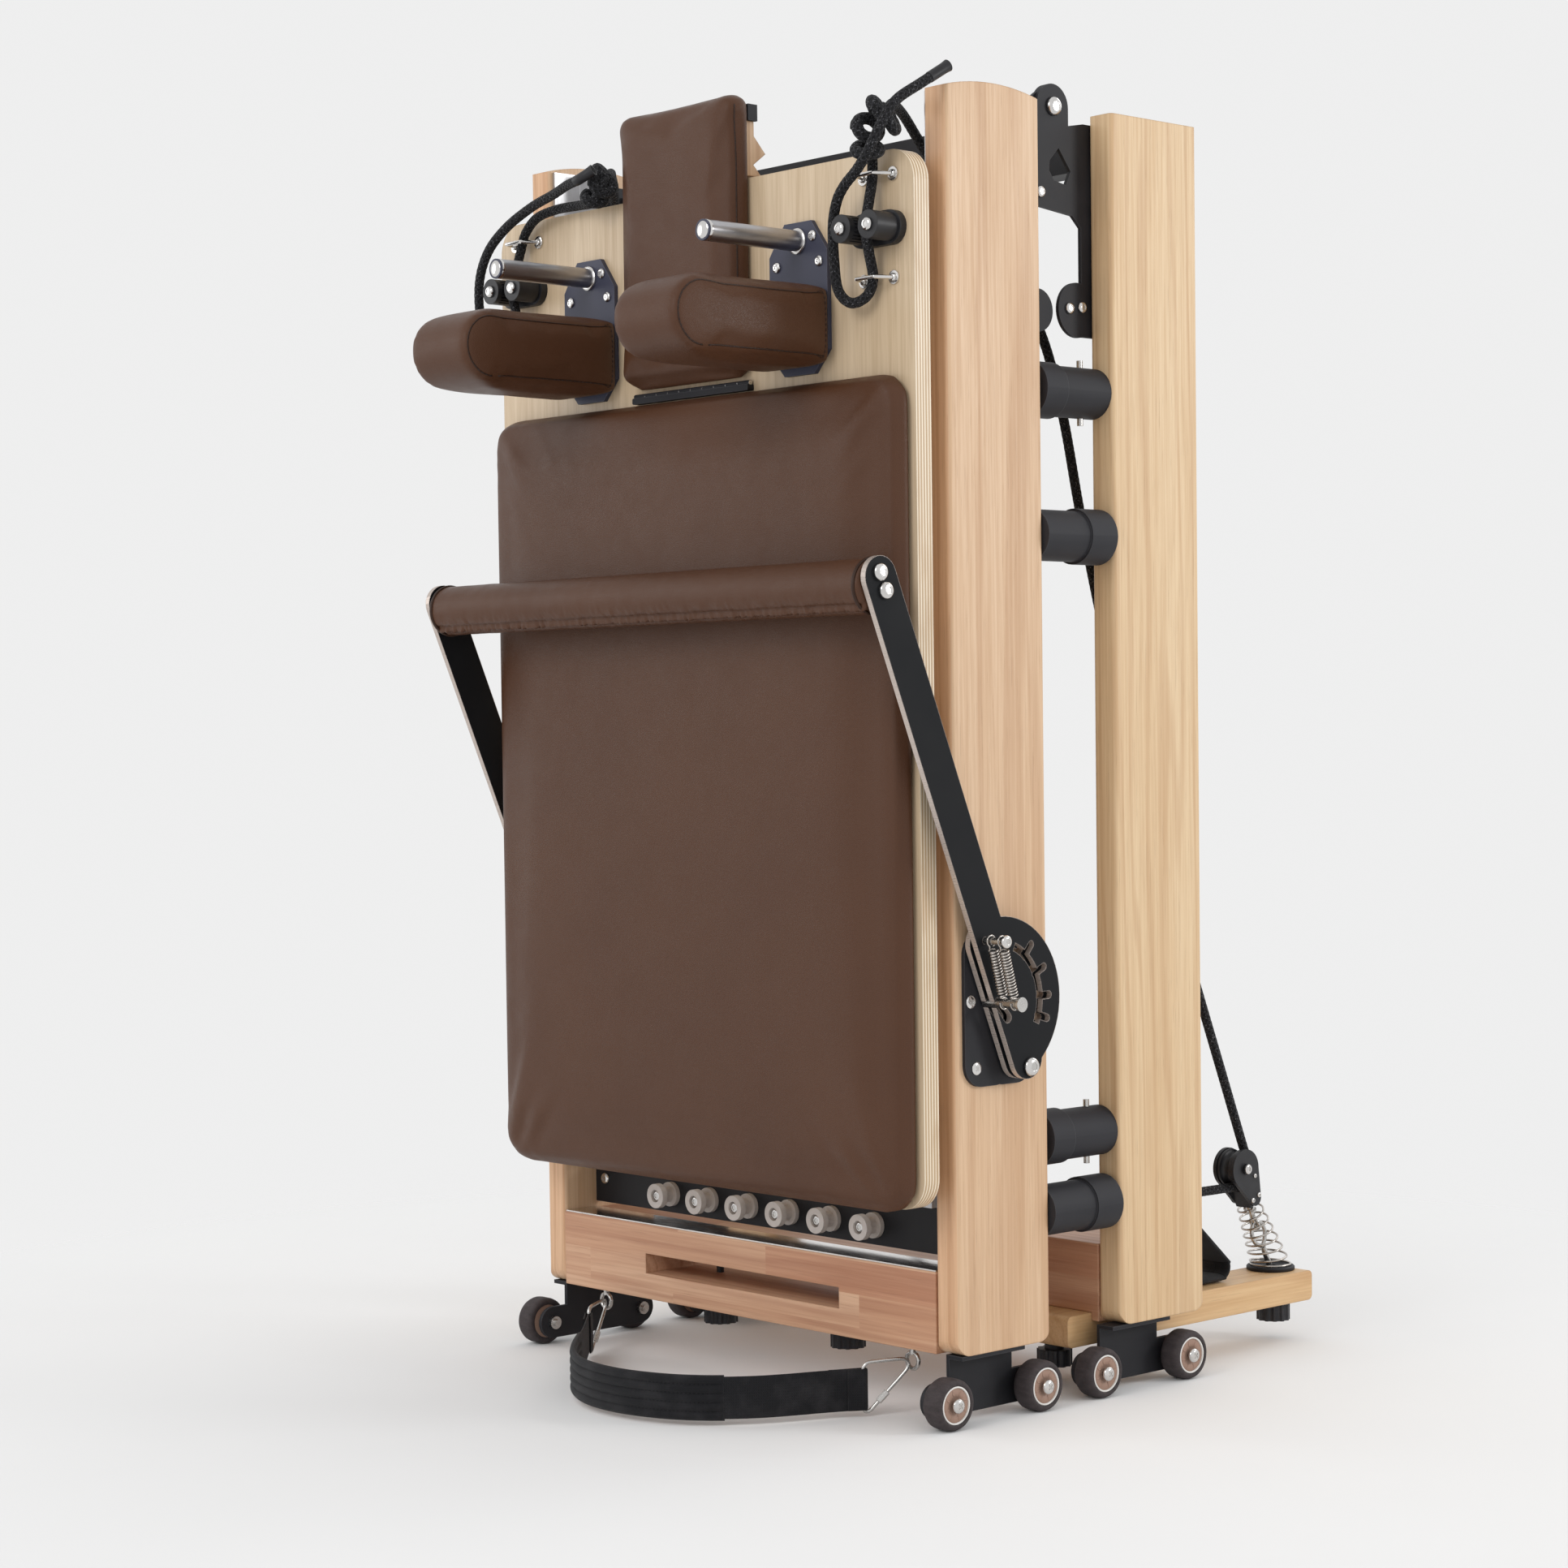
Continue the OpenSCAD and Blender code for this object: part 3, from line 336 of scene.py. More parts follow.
def plate_steel():
    """The footbar plates: satin black faces and bright cut edges. The edges' pale pinkish colour is partly a painted
    reflection of the wood, and a band along the edges of the black faces is a painted highlight.
    """
    m = Material("footbar_plate")
    place = m.coords()
    scratches = m.noise(m.coords((0.15, 1, 1)), 500, 3, 0.6)
    dust = m.noise(place, 20, 4, 0.6)
    face = m.mix(m.ramp(dust, (0.35, 0.0), (0.8, 0.5)), rgb(17, 18, 21), rgb(26, 28, 31))
    # Painted highlight: a band along the plates' edges turns the black faces to the bright edge colour.
    rim = m.ramp(m.edges(0.0012), (0.25, 0.0), (0.6, 1.0))
    flat = m.maths("SUBTRACT", m.facing(0), m.maths("MULTIPLY", m.facing(0), rim))
    # The cut edges' colour: bare steel, made pale and pinkish as a painted reflection of the wood.
    bright = m.mix(scratches, rgb(176, 163, 154), rgb(206, 194, 186))
    m.set(specular_ior_level=0.2)
    m.set(base_color=m.mix(flat, bright, face), metallic=m.maths("MULTIPLY", m.maths("SUBTRACT", 1.0, flat), 0.45),
          roughness=m.mix(flat, m.ramp(scratches, (0.3, 0.36), (0.7, 0.24)), m.ramp(dust, (0.3, 0.6), (0.7, 0.7))))
    m.bump(scratches, 0.00005, 0.4, 0.0006)
    return m.made


def metal(name, colour, roughness, brushed=(1, 1, 1), wear=0.2):
    """Bare metal with a brushed grain and small stains in its polish."""
    m = Material(name, metallic=1.0)
    lines = m.noise(m.coords(brushed), 900, 3, 0.6)
    stains = m.noise(m.coords(), 45, 4, 0.6)
    tone = m.mix(m.maths("MULTIPLY", lines, wear), colour, rgb(118, 114, 112))
    m.set(base_color=m.mix(m.ramp(stains, (0.4, 0.0), (0.85, 0.3)), tone, rgb(140, 136, 132)),
          roughness=m.ramp(lines, (0.3, roughness), (0.75, roughness + 0.12)))
    m.bump(lines, 0.00004, 0.35, 0.0005)
    return m.made


def plastic(name, colour, roughness=0.4, speck=(0, 0, 0), bevel=0.0008):
    """Moulded plastic: an even skin with a faint texture and handling marks."""
    m = Material(name)
    skin = m.noise(m.coords(), 1100, 2, 0.5)
    marks = m.noise(m.coords(), 60, 4, 0.6)
    tone = m.mix(m.ramp(marks, (0.45, 0.0), (0.85, 0.3)), colour, rgb(*speck))
    m.set(base_color=tone, roughness=m.ramp(marks, (0.3, roughness), (0.75, roughness + 0.14)),
          specular_ior_level=0.4)
    m.bump(skin, 0.00006, 0.4, bevel)
    return m.made


def braid():
    """Braided rope: two sets of crossing yarns, a few of them paler, with fibre fuzz; the yarns are painted lighter
    on their crowns and darker between them, as painted highlight and shade.
    """
    m = Material("rope", sheen_weight=0.06, sheen_roughness=0.4, specular_ior_level=0.3)
    u, v, _ = m.split(m.add("TexCoord", {}).outputs["UV"])
    around = m.maths("MULTIPLY", u, BRAID_LOBES * math.tau)
    along = m.maths("MULTIPLY", v, math.tau / BRAID_PITCH)
    one = m.maths("COSINE", m.maths("ADD", around, along))
    two = m.maths("COSINE", m.maths("SUBTRACT", around, along))
    over = m.maths("GREATER_THAN", one, two)
    height = m.maths("MAXIMUM", one, two)
    fuzz = m.noise(m.coords(), 2200, 3, 0.7)
    slant = m.maths("ADD", m.maths("MULTIPLY", along, 2.0), m.maths("MULTIPLY", around, 3.0))
    yarn = m.maths("SINE", m.maths("ADD", slant, m.maths("MULTIPLY", over, 1.6)))
    # Painted highlight and shade: lighter where a yarn rises, near-black in the hollows between the yarns.
    colour = m.mix(m.ramp(height, (0.55, 0.0), (1.0, 1.0)), rgb(11, 11, 13), rgb(36, 36, 40))
    flecks = m.ramp(m.noise(m.coords(), 620, 1, 0.5), (0.62, 0.0), (0.68, 1.0))
    colour = m.mix(m.maths("MULTIPLY", flecks, 0.45), colour, rgb(128, 128, 132))
    m.set(base_color=colour, roughness=m.ramp(fuzz, (0.3, 0.9), (0.7, 0.72)))
    m.bump(m.maths("ADD", m.maths("ADD", height, m.maths("MULTIPLY", yarn, 0.35)),
                   m.maths("MULTIPLY", fuzz, 0.6)), 0.0006, 0.8)
    return m.made


def webbing(name, colour, pale, pitch=0.0022):
    """Woven polyester tape: ribs along it and picks across, from the piece's own UVs; the raised weave is painted
    lighter than its hollows, as painted highlight and shade.
    """
    m = Material(name, sheen_weight=0.08, sheen_roughness=0.5, specular_ior_level=0.3)
    u, v, _ = m.split(m.add("TexCoord", {}).outputs["UV"])
    picks = m.maths("SINE", m.maths("MULTIPLY", v, math.tau / pitch))
    ends = m.maths("SINE", m.maths("MULTIPLY", u, math.tau * 48))
    weave = m.maths("MAXIMUM", m.maths("MULTIPLY", picks, ends), m.maths("MULTIPLY", picks, -0.5))
    fuzz = m.noise(m.coords(), 1500, 3, 0.7)
    dust = m.noise(m.coords(), 40, 4, 0.6)
    # Painted highlight and shade: the raised weave is lighter, the hollows between the threads darker.
    tone = m.mix(m.ramp(weave, (0.2, 0.0), (1.0, 1.0)), colour, pale)
    tone = m.mix(m.ramp(dust, (0.45, 0.0), (0.85, 0.25)), tone, rgb(84, 82, 84))
    m.set(base_color=tone, roughness=m.ramp(fuzz, (0.3, 0.92), (0.7, 0.74)))
    m.bump(m.maths("ADD", weave, m.maths("MULTIPLY", fuzz, 0.5)), 0.0003, 0.7)
    return m.made


def rubber():
    m = Material("tyre")
    skin = m.noise(m.coords(), 900, 4, 0.65)
    scuffs = m.noise(m.coords((1, 3, 3)), 60, 5, 0.7)
    tone = m.mix(m.ramp(scuffs, (0.35, 0.0), (0.8, 1.0)), rgb(46, 39, 40), rgb(70, 61, 62))
    m.set(base_color=tone, roughness=m.ramp(skin, (0.3, 0.86), (0.7, 0.66)))
    m.bump(skin, 0.00012, 0.5)
    return m.made


def floor_paint():
    """Pale matt paint that fades into the backdrop away from the object."""
    m = Material("studio_floor")
    patch = m.noise(m.coords(), 3, 3, 0.5)
    m.set(base_color=m.mix(patch, rgb(233, 233, 233), rgb(237, 237, 237)), roughness=0.95, specular_ior_level=0.1)
    reach = m.add("VectorMath", {0: m.coords()}, operation="LENGTH").outputs["Value"]
    m.set(alpha=m.ramp(m.maths("DIVIDE", reach, 2.4), (0.2, 1.0), (0.7, 0.0)))
    return m.made


# The rails' narrow faces, turned along Y, are given painted shade.
RAIL_WOOD = wood("rubberwood", 2, rgb(222, 190, 156), rgb(212, 176, 139), rgb(176, 130, 90),
                 painted_facing_shade=(1, rgb(253, 234, 222)))
REAR_WOOD = wood("rubberwood_rear", 2, rgb(226, 199, 160), rgb(216, 184, 142), rgb(182, 138, 94), seed=3.1)
BOARD_WOOD = wood("rubberwood_board", 0, rgb(214, 180, 152), rgb(198, 156, 126), rgb(158, 106, 78),
                  stave=0.033, across=2, seed=1.3)
POST_WOOD = wood("rubberwood_post", 1, rgb(222, 188, 142), rgb(210, 170, 120), rgb(176, 126, 80), seed=5.2)
PROP_WOOD = wood("light_wood", 2, rgb(216, 184, 148), rgb(200, 162, 124), rgb(166, 122, 86), seed=7.7)
PLY = plywood()
LEATHER = leather()
# A darker, shaded copy of the leather, for the seam cords and the grip's rims: painted shade.
SHADED_LEATHER = leather("leather_shaded_copy", 0.42)
BLACK_STEEL = painted("black_steel", rgb(22, 22, 26))
GREY_STEEL = painted("grey_steel", rgb(60, 62, 80), 0.42, (140, 140, 152))
LEG_STEEL = painted("leg_steel", rgb(35, 35, 39), 0.55)
PLATE = plate_steel()
STAINLESS = metal("stainless", rgb(205, 203, 200), 0.2)
CHROME = metal("chrome", rgb(222, 220, 218), 0.09, wear=0.1)
WIRE = metal("spring_wire", rgb(196, 190, 184), 0.18, wear=0.3)
ALUMINIUM = metal("aluminium", rgb(190, 190, 194), 0.3, (1, 0.05, 1), 0.25)
TRACK = metal("track_aluminium", rgb(206, 206, 208), 0.34, (1, 1, 0.04), 0.2)
MIRROR = metal("guard_sheet", rgb(222, 218, 214), 0.1, (0.04, 1, 1), 0.06)
SPOOL = plastic("white_plastic", rgb(206, 198, 193), 0.42, (150, 142, 136))
BLACK_PLASTIC = plastic("black_plastic", rgb(29, 29, 32), 0.38, (70, 70, 74))
KNOB_PLASTIC = plastic("knob_plastic", rgb(36, 36, 40), 0.34, (84, 84, 88), 0.0012)
HUB = plastic("hub_plastic", rgb(158, 128, 112), 0.5, (128, 100, 86))
RING = plastic("ring_plastic", rgb(238, 236, 232), 0.4, (200, 196, 190))
TYRE = rubber()
ROPE = braid()
# Of the two colours of each woven material, the second, lighter one is the painted highlight on its raised weave.
WEBBING = webbing("webbing", rgb(10, 10, 13), rgb(32, 32, 38))
SLEEVE = webbing("sleeve_cloth", rgb(11, 11, 15), rgb(24, 24, 30), 0.0012)
THREAD = webbing("thread", rgb(40, 28, 24), rgb(64, 46, 40), 0.0008)
BLACK_THREAD = webbing("black_thread", rgb(34, 34, 38), rgb(66, 66, 72), 0.0008)

# ------------------------------------------------------------------ shapes


class Form:
    """Points and faces that are gathered into one mesh."""

    def __init__(self):
        self.points, self.faces, self.uvs = [], [], []

    def loft(self, rows, lengths=None, closed=False, caps=True):
        """Joins rings of points into walls; caps fills the first and last ring."""
        start, wide, count = len(self.points), len(rows[0]), len(rows)
        lengths = lengths if lengths is not None else [i * 0.001 for i in range(count + 1)]
        for row in rows:
            self.points.extend(Vector(p) for p in row)
        for i in range(count if closed else count - 1):
            here, there = start + i * wide, start + (i + 1) % count * wide
            for k in range(wide):
                m = (k + 1) % wide
                self.faces.append((here + k, here + m, there + m, there + k))
                u, w = k / wide, (k + 1) / wide
                v, x = lengths[i], lengths[i + 1]
                self.uvs.append(((u, v), (w, v), (w, x), (u, x)))
        if caps and not closed:
            for first in (start, start + (count - 1) * wide):
                self.faces.append(tuple(range(first, first + wide)))
                self.uvs.append(tuple((k / wide, 0) for k in range(wide)))
        return self

    def tube(self, path, radius, sides=10, closed=False, texture=None):
        """A round bar or wire along a path; texture(angles, length) scales its radius."""
        points = np.array([tuple(p) for p in path])
        ahead = np.roll(points, -1, 0) - points
        behind = points - np.roll(points, 1, 0)
        if not closed:
            ahead[-1], behind[0] = behind[-1], ahead[0]
        tangents = ahead / np.linalg.norm(ahead, axis=1)[:, None] + behind / np.linalg.norm(behind, axis=1)[:, None]
        tangents /= np.linalg.norm(tangents, axis=1)[:, None]
        lengths = np.concatenate([[0], np.cumsum(np.linalg.norm(ahead, axis=1))])
        side = np.cross(tangents[0], (0.31, 0.9, 0.3))
        angles = np.linspace(0, math.tau, sides, endpoint=False)
        radii = np.broadcast_to(np.asarray(radius, float), (len(points),))
        rows = []
        for point, tangent, reach, length in zip(points, tangents, radii, lengths):
            side = side - tangent * (side @ tangent)
            side = side / np.linalg.norm(side)
            up = np.cross(tangent, side)
            scale = reach * (texture(angles, length) if texture else np.ones(sides))
            rows.append(point + np.outer(scale * np.cos(angles), side) + np.outer(scale * np.sin(angles), up))
        return self.loft(rows, lengths, closed)

    def turned(self, centre, axis, profile, steps=48, outline=None):
        """A turned shape: profile holds (radius, height along the axis) pairs, each radius a number or a function of
        the angles; outline is not used.
        """
        axis = Vector(axis).normalized()
        side = axis.orthogonal().normalized()
        up = axis.cross(side)
        angles = np.linspace(0, math.tau, steps, endpoint=False)
        circle = [side * math.cos(a) + up * math.sin(a) for a in angles]
        rows = []
        for radius, height in profile:
            radii = radius(angles) if callable(radius) else [radius] * steps
            rows.append([Vector(centre) + axis * height + c * r for c, r in zip(circle, radii)])
        return self.loft(rows, closed=profile[0] == profile[-1] and len(profile) > 2, caps=profile[0] != profile[-1])

    def make(self, name, material, body, slot=None, smooth=45):
        mesh = bpy.data.meshes.new(name)
        mesh.from_pydata([tuple(p) for p in self.points], [], self.faces)
        layer = mesh.uv_layers.new(name="UVMap")
        layer.data.foreach_set("uv", [c for corners in self.uvs for uv in corners for c in uv])
        mesh.materials.append(material)
        obj = bpy.data.objects.new(name, mesh)
        scene.collection.objects.link(obj)
        tidy(mesh)
        mesh.shade_smooth()
        mesh.set_sharp_from_angle(angle=math.radians(smooth))
        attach(obj, body)
        return obj


def tidy(mesh):
    """Joins points that coincide and turns every face outwards."""
    bm = bmesh.new()
    bm.from_mesh(mesh)
    bmesh.ops.remove_doubles(bm, verts=bm.verts, dist=1e-6)
    bmesh.ops.dissolve_degenerate(bm, edges=bm.edges, dist=1e-7)
    bmesh.ops.recalc_face_normals(bm, faces=bm.faces)
    bm.to_mesh(mesh)
    bm.free()


def curve(points, step=2.0, closed=False):
    """A smooth line through the points, in even steps, all in millimetres."""
    p = np.array(points, float)
    count = len(p)
    fine = []
    for i in range(count if closed else count - 1):
        pick = (lambda k: p[k % count]) if closed else (lambda k: p[min(max(k, 0), count - 1)])
        a, b, c, d = pick(i - 1), pick(i), pick(i + 1), pick(i + 2)
        for t in np.linspace(0, 1, 12, endpoint=False):
            fine.append(0.5 * (2 * b + (c - a) * t + (2 * a - 5 * b + 4 * c - d) * t * t
                               + (3 * b - a - 3 * c + d) * t ** 3))
    if not closed:
        fine.append(p[-1])
    fine = np.array(fine + ([fine[0]] if closed else []))
    lengths = np.concatenate([[0], np.cumsum(np.linalg.norm(np.diff(fine, axis=0), axis=1))])
    marks = np.linspace(0, lengths[-1], max(2, int(lengths[-1] / step) + 1))
    marks = marks[:-1] if closed else marks
    return np.stack([np.interp(marks, lengths, fine[:, k]) for k in range(fine.shape[1])], 1)


def placed(points):
    """Points in the part's millimetres, as places in the frame."""
    return [at(*p) for p in points]


def mirrored(points):
    return [(-p[0], *p[1:]) for p in points]


def helix(start, end, radii, turns, per_turn=18, flat=None):
    """A coil about the line from start to end; flat, if given, is the axis that its first turns lie square to."""
    start, end = Vector(start), Vector(end)
    axis = (end - start).normalized()
    count = int(turns * per_turn)
    path = []
    for i in range(count + 1):
        t = i / count
        direction = axis if flat is None else Vector(flat).lerp(axis, t).normalized()
        side = direction.cross(Vector((1, 0, 0))).normalized() if abs(direction.x) < 0.9 else Vector((0, 1, 0))
        up = direction.cross(side)
        angle = math.tau * turns * t
        radius = radii[0] + (radii[1] - radii[0]) * t
        path.append(start.lerp(end, t) + (side * math.cos(angle) + up * math.sin(angle)) * radius)
    return path


def paint(material, *nodes):
    """Gives CAD nodes their material."""
    for name in nodes:
        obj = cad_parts[name]
        if not obj.material_slots:
            obj.data.materials.append(material)
        for spot in obj.material_slots:
            spot.material = material


def soften(width, *nodes):
    """Breaks the sharp edges of CAD nodes, by a modifier."""
    for name in nodes:
        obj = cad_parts[name]
        weld = obj.modifiers.new("weld", "WELD")
        weld.merge_threshold = 1e-6
        bevel = obj.modifiers.new("bevel", "BEVEL")
        bevel.width = width * MM
        bevel.segments = 2
        bevel.limit_method = "ANGLE"
        bevel.angle_limit = math.radians(50)
        bevel.harden_normals = True
        bevel.use_clamp_overlap = True


# ------------------------------------------------------------------ camera

def camera():
    """The view of the reference, with its slight roll and its frame raised a little."""
    yaw, pitch, roll = math.radians(47.798), math.radians(2.66), math.radians(-0.761)
    ahead = Vector((-math.sin(yaw) * math.cos(pitch), math.cos(yaw) * math.cos(pitch), -math.sin(pitch)))
    level = Vector((math.cos(yaw), math.sin(yaw), 0))
    upright = level.cross(ahead)
    right = level * math.cos(roll) + upright * math.sin(roll)
    up = upright * math.cos(roll) - level * math.sin(roll)
    data = bpy.data.cameras.new("camera")
    data.lens, data.sensor_width = 73.756, 36
    data.shift_y = 0.058
    data.clip_start, data.clip_end = 0.05, 100
    obj = bpy.data.objects.new("camera", data)
    scene.collection.objects.link(obj)
    turn = Matrix((right, up, -ahead)).transposed().to_4x4()
    obj.matrix_world = Matrix.Translation(at(2451.6, -2153.7, 603.2)) @ turn
    scene.camera = obj


camera()

# ------------------------------------------------------------------- ropes

def braided(angles, length):
    """The bulge of the crossing yarns about a rope."""
    along, around = length * math.tau / BRAID_PITCH, BRAID_LOBES * angles
    return 0.97 + 0.035 * np.maximum(np.cos(around + along), np.cos(around - along))


def rope(name, route, body, node=None, radius=ROPE_R):
    """A braided rope along a route in millimetres."""
    path = curve(route, 1.3)
    obj = Form().tube(placed(path), radius * MM, 30, texture=braided).make(name, ROPE, body, "rope", 180)
    if node:
        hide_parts(node)
    return obj, path


def coil_of_knot(centre, axis, wide, tall):
    """One turn of a knot, its ends tucked under each other: an ellipse square to an axis."""
    axis = Vector(axis).normalized()
    side = axis.cross(Vector((0, 0, 1))).normalized()
    up = side.cross(axis)
    turn = np.linspace(0, 1.12 * math.tau, 34)
    return [tuple(Vector(centre) + side * wide * math.cos(a) + up * tall * math.sin(a)
                  + axis * (2.4 * (a / math.tau - 0.56))) for a in turn]


def sleeved_end(name, path, body, outward=1):
    """The smooth shrunk sleeve on a rope's free end, a little flared at its mouth."""
    line = path[-20:] if outward > 0 else path[:20][::-1]
    count = len(line)
    radii = [(5.35 + 0.6 * max(0, (i - count + 7) / 6) ** 2) * MM for i in range(count)]
    form = Form().tube(placed(line), radii, 24)
    return form.make(name, BLACK_PLASTIC, body, "rope")


def carriage_rope(side, route):
    """The rope on the carriage: up from behind the board, a knot, and the way through the eyes and the cleat."""
    word = SIDE_NAME[side]
    obj, path = rope(f"rope_{word}_on_carriage", route, "carriage", f"rope_{word}_carriage")
    pieces = [sleeved_end(f"rope_end_{word}", path, "carriage")]
    for i, turn in enumerate(KNOTS[side]):
        pieces.append(rope(f"knot_{word}_{i}", coil_of_knot(*turn), "carriage", radius=KNOT_R)[0])
    [tuple(p) for p in placed(path)]


def rear_rope(side):
    """The rope that runs down behind the folded bed, round its pulley and into the hand loop."""
    word = SIDE_NAME[side]
    route = REAR_ROUTE if side > 0 else mirrored(REAR_ROUTE)
    obj, path = rope(f"rope_{word}_down", route, "rear_frame", f"rope_{word}_rear")
    tuple(at(*route[0]))
    [tuple(p) for p in placed(path)]


carriage_rope(1, RIGHT_ROUTE)
carriage_rope(-1, LEFT_ROUTE)
for side in SIDES:
    rear_rope(side)

# ------------------------------------------------------------- soft shapes


def rounded_outline(low, high, radius, corner=8, straight=10):
    """A rectangle with round corners, as (a, b) pairs."""
    (a0, b0), (a1, b1) = low, high
    radius = max(radius, 1.5)
    centres = [(a1 - radius, b1 - radius, 0), (a0 + radius, b1 - radius, 90), (a0 + radius, b0 + radius, 180),
               (a1 - radius, b0 + radius, 270)]
    points = []
    for i, (a, b, start) in enumerate(centres):
        arc = [(a + radius * math.cos(math.radians(start + 90 * k / corner)),
                b + radius * math.sin(math.radians(start + 90 * k / corner))) for k in range(corner + 1)]
        nxt = centres[(i + 1) % 4]
        turn = math.radians(nxt[2])
        goal = (nxt[0] + radius * math.cos(turn), nxt[1] + radius * math.sin(turn))
        points += arc
        points += [(arc[-1][0] + (goal[0] - arc[-1][0]) * k / straight,
                    arc[-1][1] + (goal[1] - arc[-1][1]) * k / straight) for k in range(1, straight)]
    return points


def slab_rows(outline_at, levels, place):
    """Rings of a cushion: levels holds (depth, inset) pairs, outline_at(inset) an outline, place a point's maker."""
    return [[place(a, b, depth) for a, b in outline_at(inset)] for depth, inset in levels]


def edge_levels(back, front, round_back, round_front, steps=5):
    """(depth, inset) pairs of a slab with round edges, from its back to its front."""
    way = 1 if front > back else -1
    levels = []
    for k in range(steps + 1):
        a = math.pi / 2 * k / steps
        levels.append((back + way * round_back * (1 - math.sin(a)) * 1.0, round_back * (1 - math.sin(a + 0.0))))
    levels = [(back + way * round_back * (1 - math.cos(math.pi / 2 * k / steps)),
               round_back * (1 - math.sin(math.pi / 2 * k / steps))) for k in range(steps + 1)]
    levels += [(front - way * round_front * (1 - math.sin(math.pi / 2 * k / steps)),
                round_front * (1 - math.cos(math.pi / 2 * k / steps))) for k in range(steps + 1)]
    return levels


def remeshed(obj, voxel):
    """Gives a piece an even skin of small faces."""
    modifier = obj.modifiers.new("remesh", "REMESH")
    modifier.mode = "VOXEL"
    modifier.voxel_size = voxel * MM
    mesh = bpy.data.meshes.new_from_object(obj.evaluated_get(bpy.context.evaluated_depsgraph_get()))
    obj.modifiers.clear()
    old, obj.data = obj.data, mesh
    mesh.name = old.name
    for polygon in mesh.polygons:
        polygon.use_smooth = True
    return obj


def puffed(jobs, frames=20):
    """Blows up cushions by a cloth simulation. jobs holds (piece, held(point), cap in mm, pressure)."""
    before = {}
    for obj, held, cap, pressure in jobs:
        before[obj.name] = np.array([v.co for v in obj.data.vertices])
        group = obj.vertex_groups.new(name="held")
        group.add([v.index for v in obj.data.vertices if held(v.co)], 1.0, "REPLACE")
        cloth = obj.modifiers.new("cloth", "CLOTH")
        cloth.settings.quality = 4
        cloth.settings.mass = 0.3
        cloth.settings.use_pressure = True
        cloth.settings.uniform_pressure_force = pressure
        cloth.settings.vertex_group_mass = "held"
        cloth.settings.effector_weights.gravity = 0
        cloth.settings.tension_stiffness = 20
        cloth.settings.compression_stiffness = 20
        cloth.collision_settings.use_collision = False
        cloth.point_cache.frame_start, cloth.point_cache.frame_end = 1, frames
    for number in range(1, frames + 1):
        scene.frame_set(number)
    graph = bpy.context.evaluated_depsgraph_get()
    after = {obj.name: np.array([v.co for v in obj.evaluated_get(graph).data.vertices]) for obj, *_ in jobs}
    for obj, _, cap, _ in jobs:
        move = after[obj.name] - before[obj.name]
        size = np.linalg.norm(move, axis=1) + 1e-9
        move *= (cap * MM * np.tanh(size / (cap * MM)) / size)[:, None]
        obj.modifiers.clear()
        obj.vertex_groups.clear()
        obj.data.vertices.foreach_set("co", (before[obj.name] + move).astype(np.float32).ravel())
        obj.data.update()
    scene.frame_set(1)


def relaxed(obj, rounds=3):
    """Smooths a skin and gives it one level of subdivision."""
    smooth = obj.modifiers.new("smooth", "SMOOTH")
    smooth.factor, smooth.iterations = 0.5, rounds
    finer = obj.modifiers.new("finer", "SUBSURF")
    finer.levels = finer.render_levels = 1
    return obj


def dented(obj, shift):
    """Moves each point of a skin by shift(point), both in the part's millimetres."""
    points = np.array([v.co for v in obj.data.vertices])
    moved = [Vector(p) + Vector(shift((Vector(p) - ORIGIN) / MM)) * MM for p in points]
    obj.data.vertices.foreach_set("co", np.array([tuple(p) for p in moved], np.float32).ravel())
    obj.data.update()


# ---------------------------------------------------------------- cushions

def mattress():
    """The long flat cushion, pulled round its board with small pleats at the corners."""
    low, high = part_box("mattress")
    (a0, b0), (a1, b1) = ((low.x / MM, (low.z - ORIGIN.z) / MM), (high.x / MM, (high.z - ORIGIN.z) / MM))
    rows = slab_rows(lambda d: rounded_outline((a0 + d, b0 + d), (a1 - d, b1 - d), 32 - d, 8, 24),
                     edge_levels(BOARD_FACE - 0.6, CUSHION_FACE + 2.5, 2, 13), lambda a, b, y: at(a, y, b))
    obj = Form().loft(rows).make("mattress_cushion", LEATHER, "carriage", "leather", 180)
    return remeshed(obj, 6.5)


def mattress_pleats(point):
    """Small folds that fan out from each corner, and shallow waves along the edges."""
    low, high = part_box("mattress")
    corner_x = high.x / MM - 30
    top, bottom = (high.z - ORIGIN.z) / MM - 30, (low.z - ORIGIN.z) / MM + 30
    if abs(point.x) < corner_x - 30 or bottom + 30 < point.z < top - 30 or point.y > BOARD_FACE - 1:
        return (0, 0, 0)
    centre_z = top if point.z > 500 else bottom
    angle = math.atan2(abs(point.z - centre_z), abs(point.x) - corner_x)
    reach = math.hypot(abs(point.x) - corner_x, point.z - centre_z)
    depth = 0.9 * max(0, min(1, (reach - 12) / 14)) * math.cos(angle * 14)
    return (0, depth, 0)


def headrest():
    """The headrest pad with a softly rounded slab's shape and a sloping foot."""
    low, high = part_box("headrest")
    a0, a1 = low.x / MM + 1.5, high.x / MM - 1.5
    b0, b1 = (low.z - ORIGIN.z) / MM + 1.0, (high.z - ORIGIN.z) / MM - 1.5

    def place(a, b, y):
        slope = max(0.0, (-(y - BOARD_FACE) - 8) / 22)
        return at(a, y, max(b, b0 + 15 * slope))
    rows = slab_rows(lambda d: rounded_outline((a0 + d, b0 + d), (a1 - d, b1 - d), 14 - d * 0.5, 6, 14),
                     edge_levels(BOARD_FACE - 1.2, CUSHION_FACE + 2.5, 3, 10), place)
    obj = Form().loft(rows).make("headrest_cushion", LEATHER, "headrest", "leather", 180)
    return remeshed(obj, 4.5)


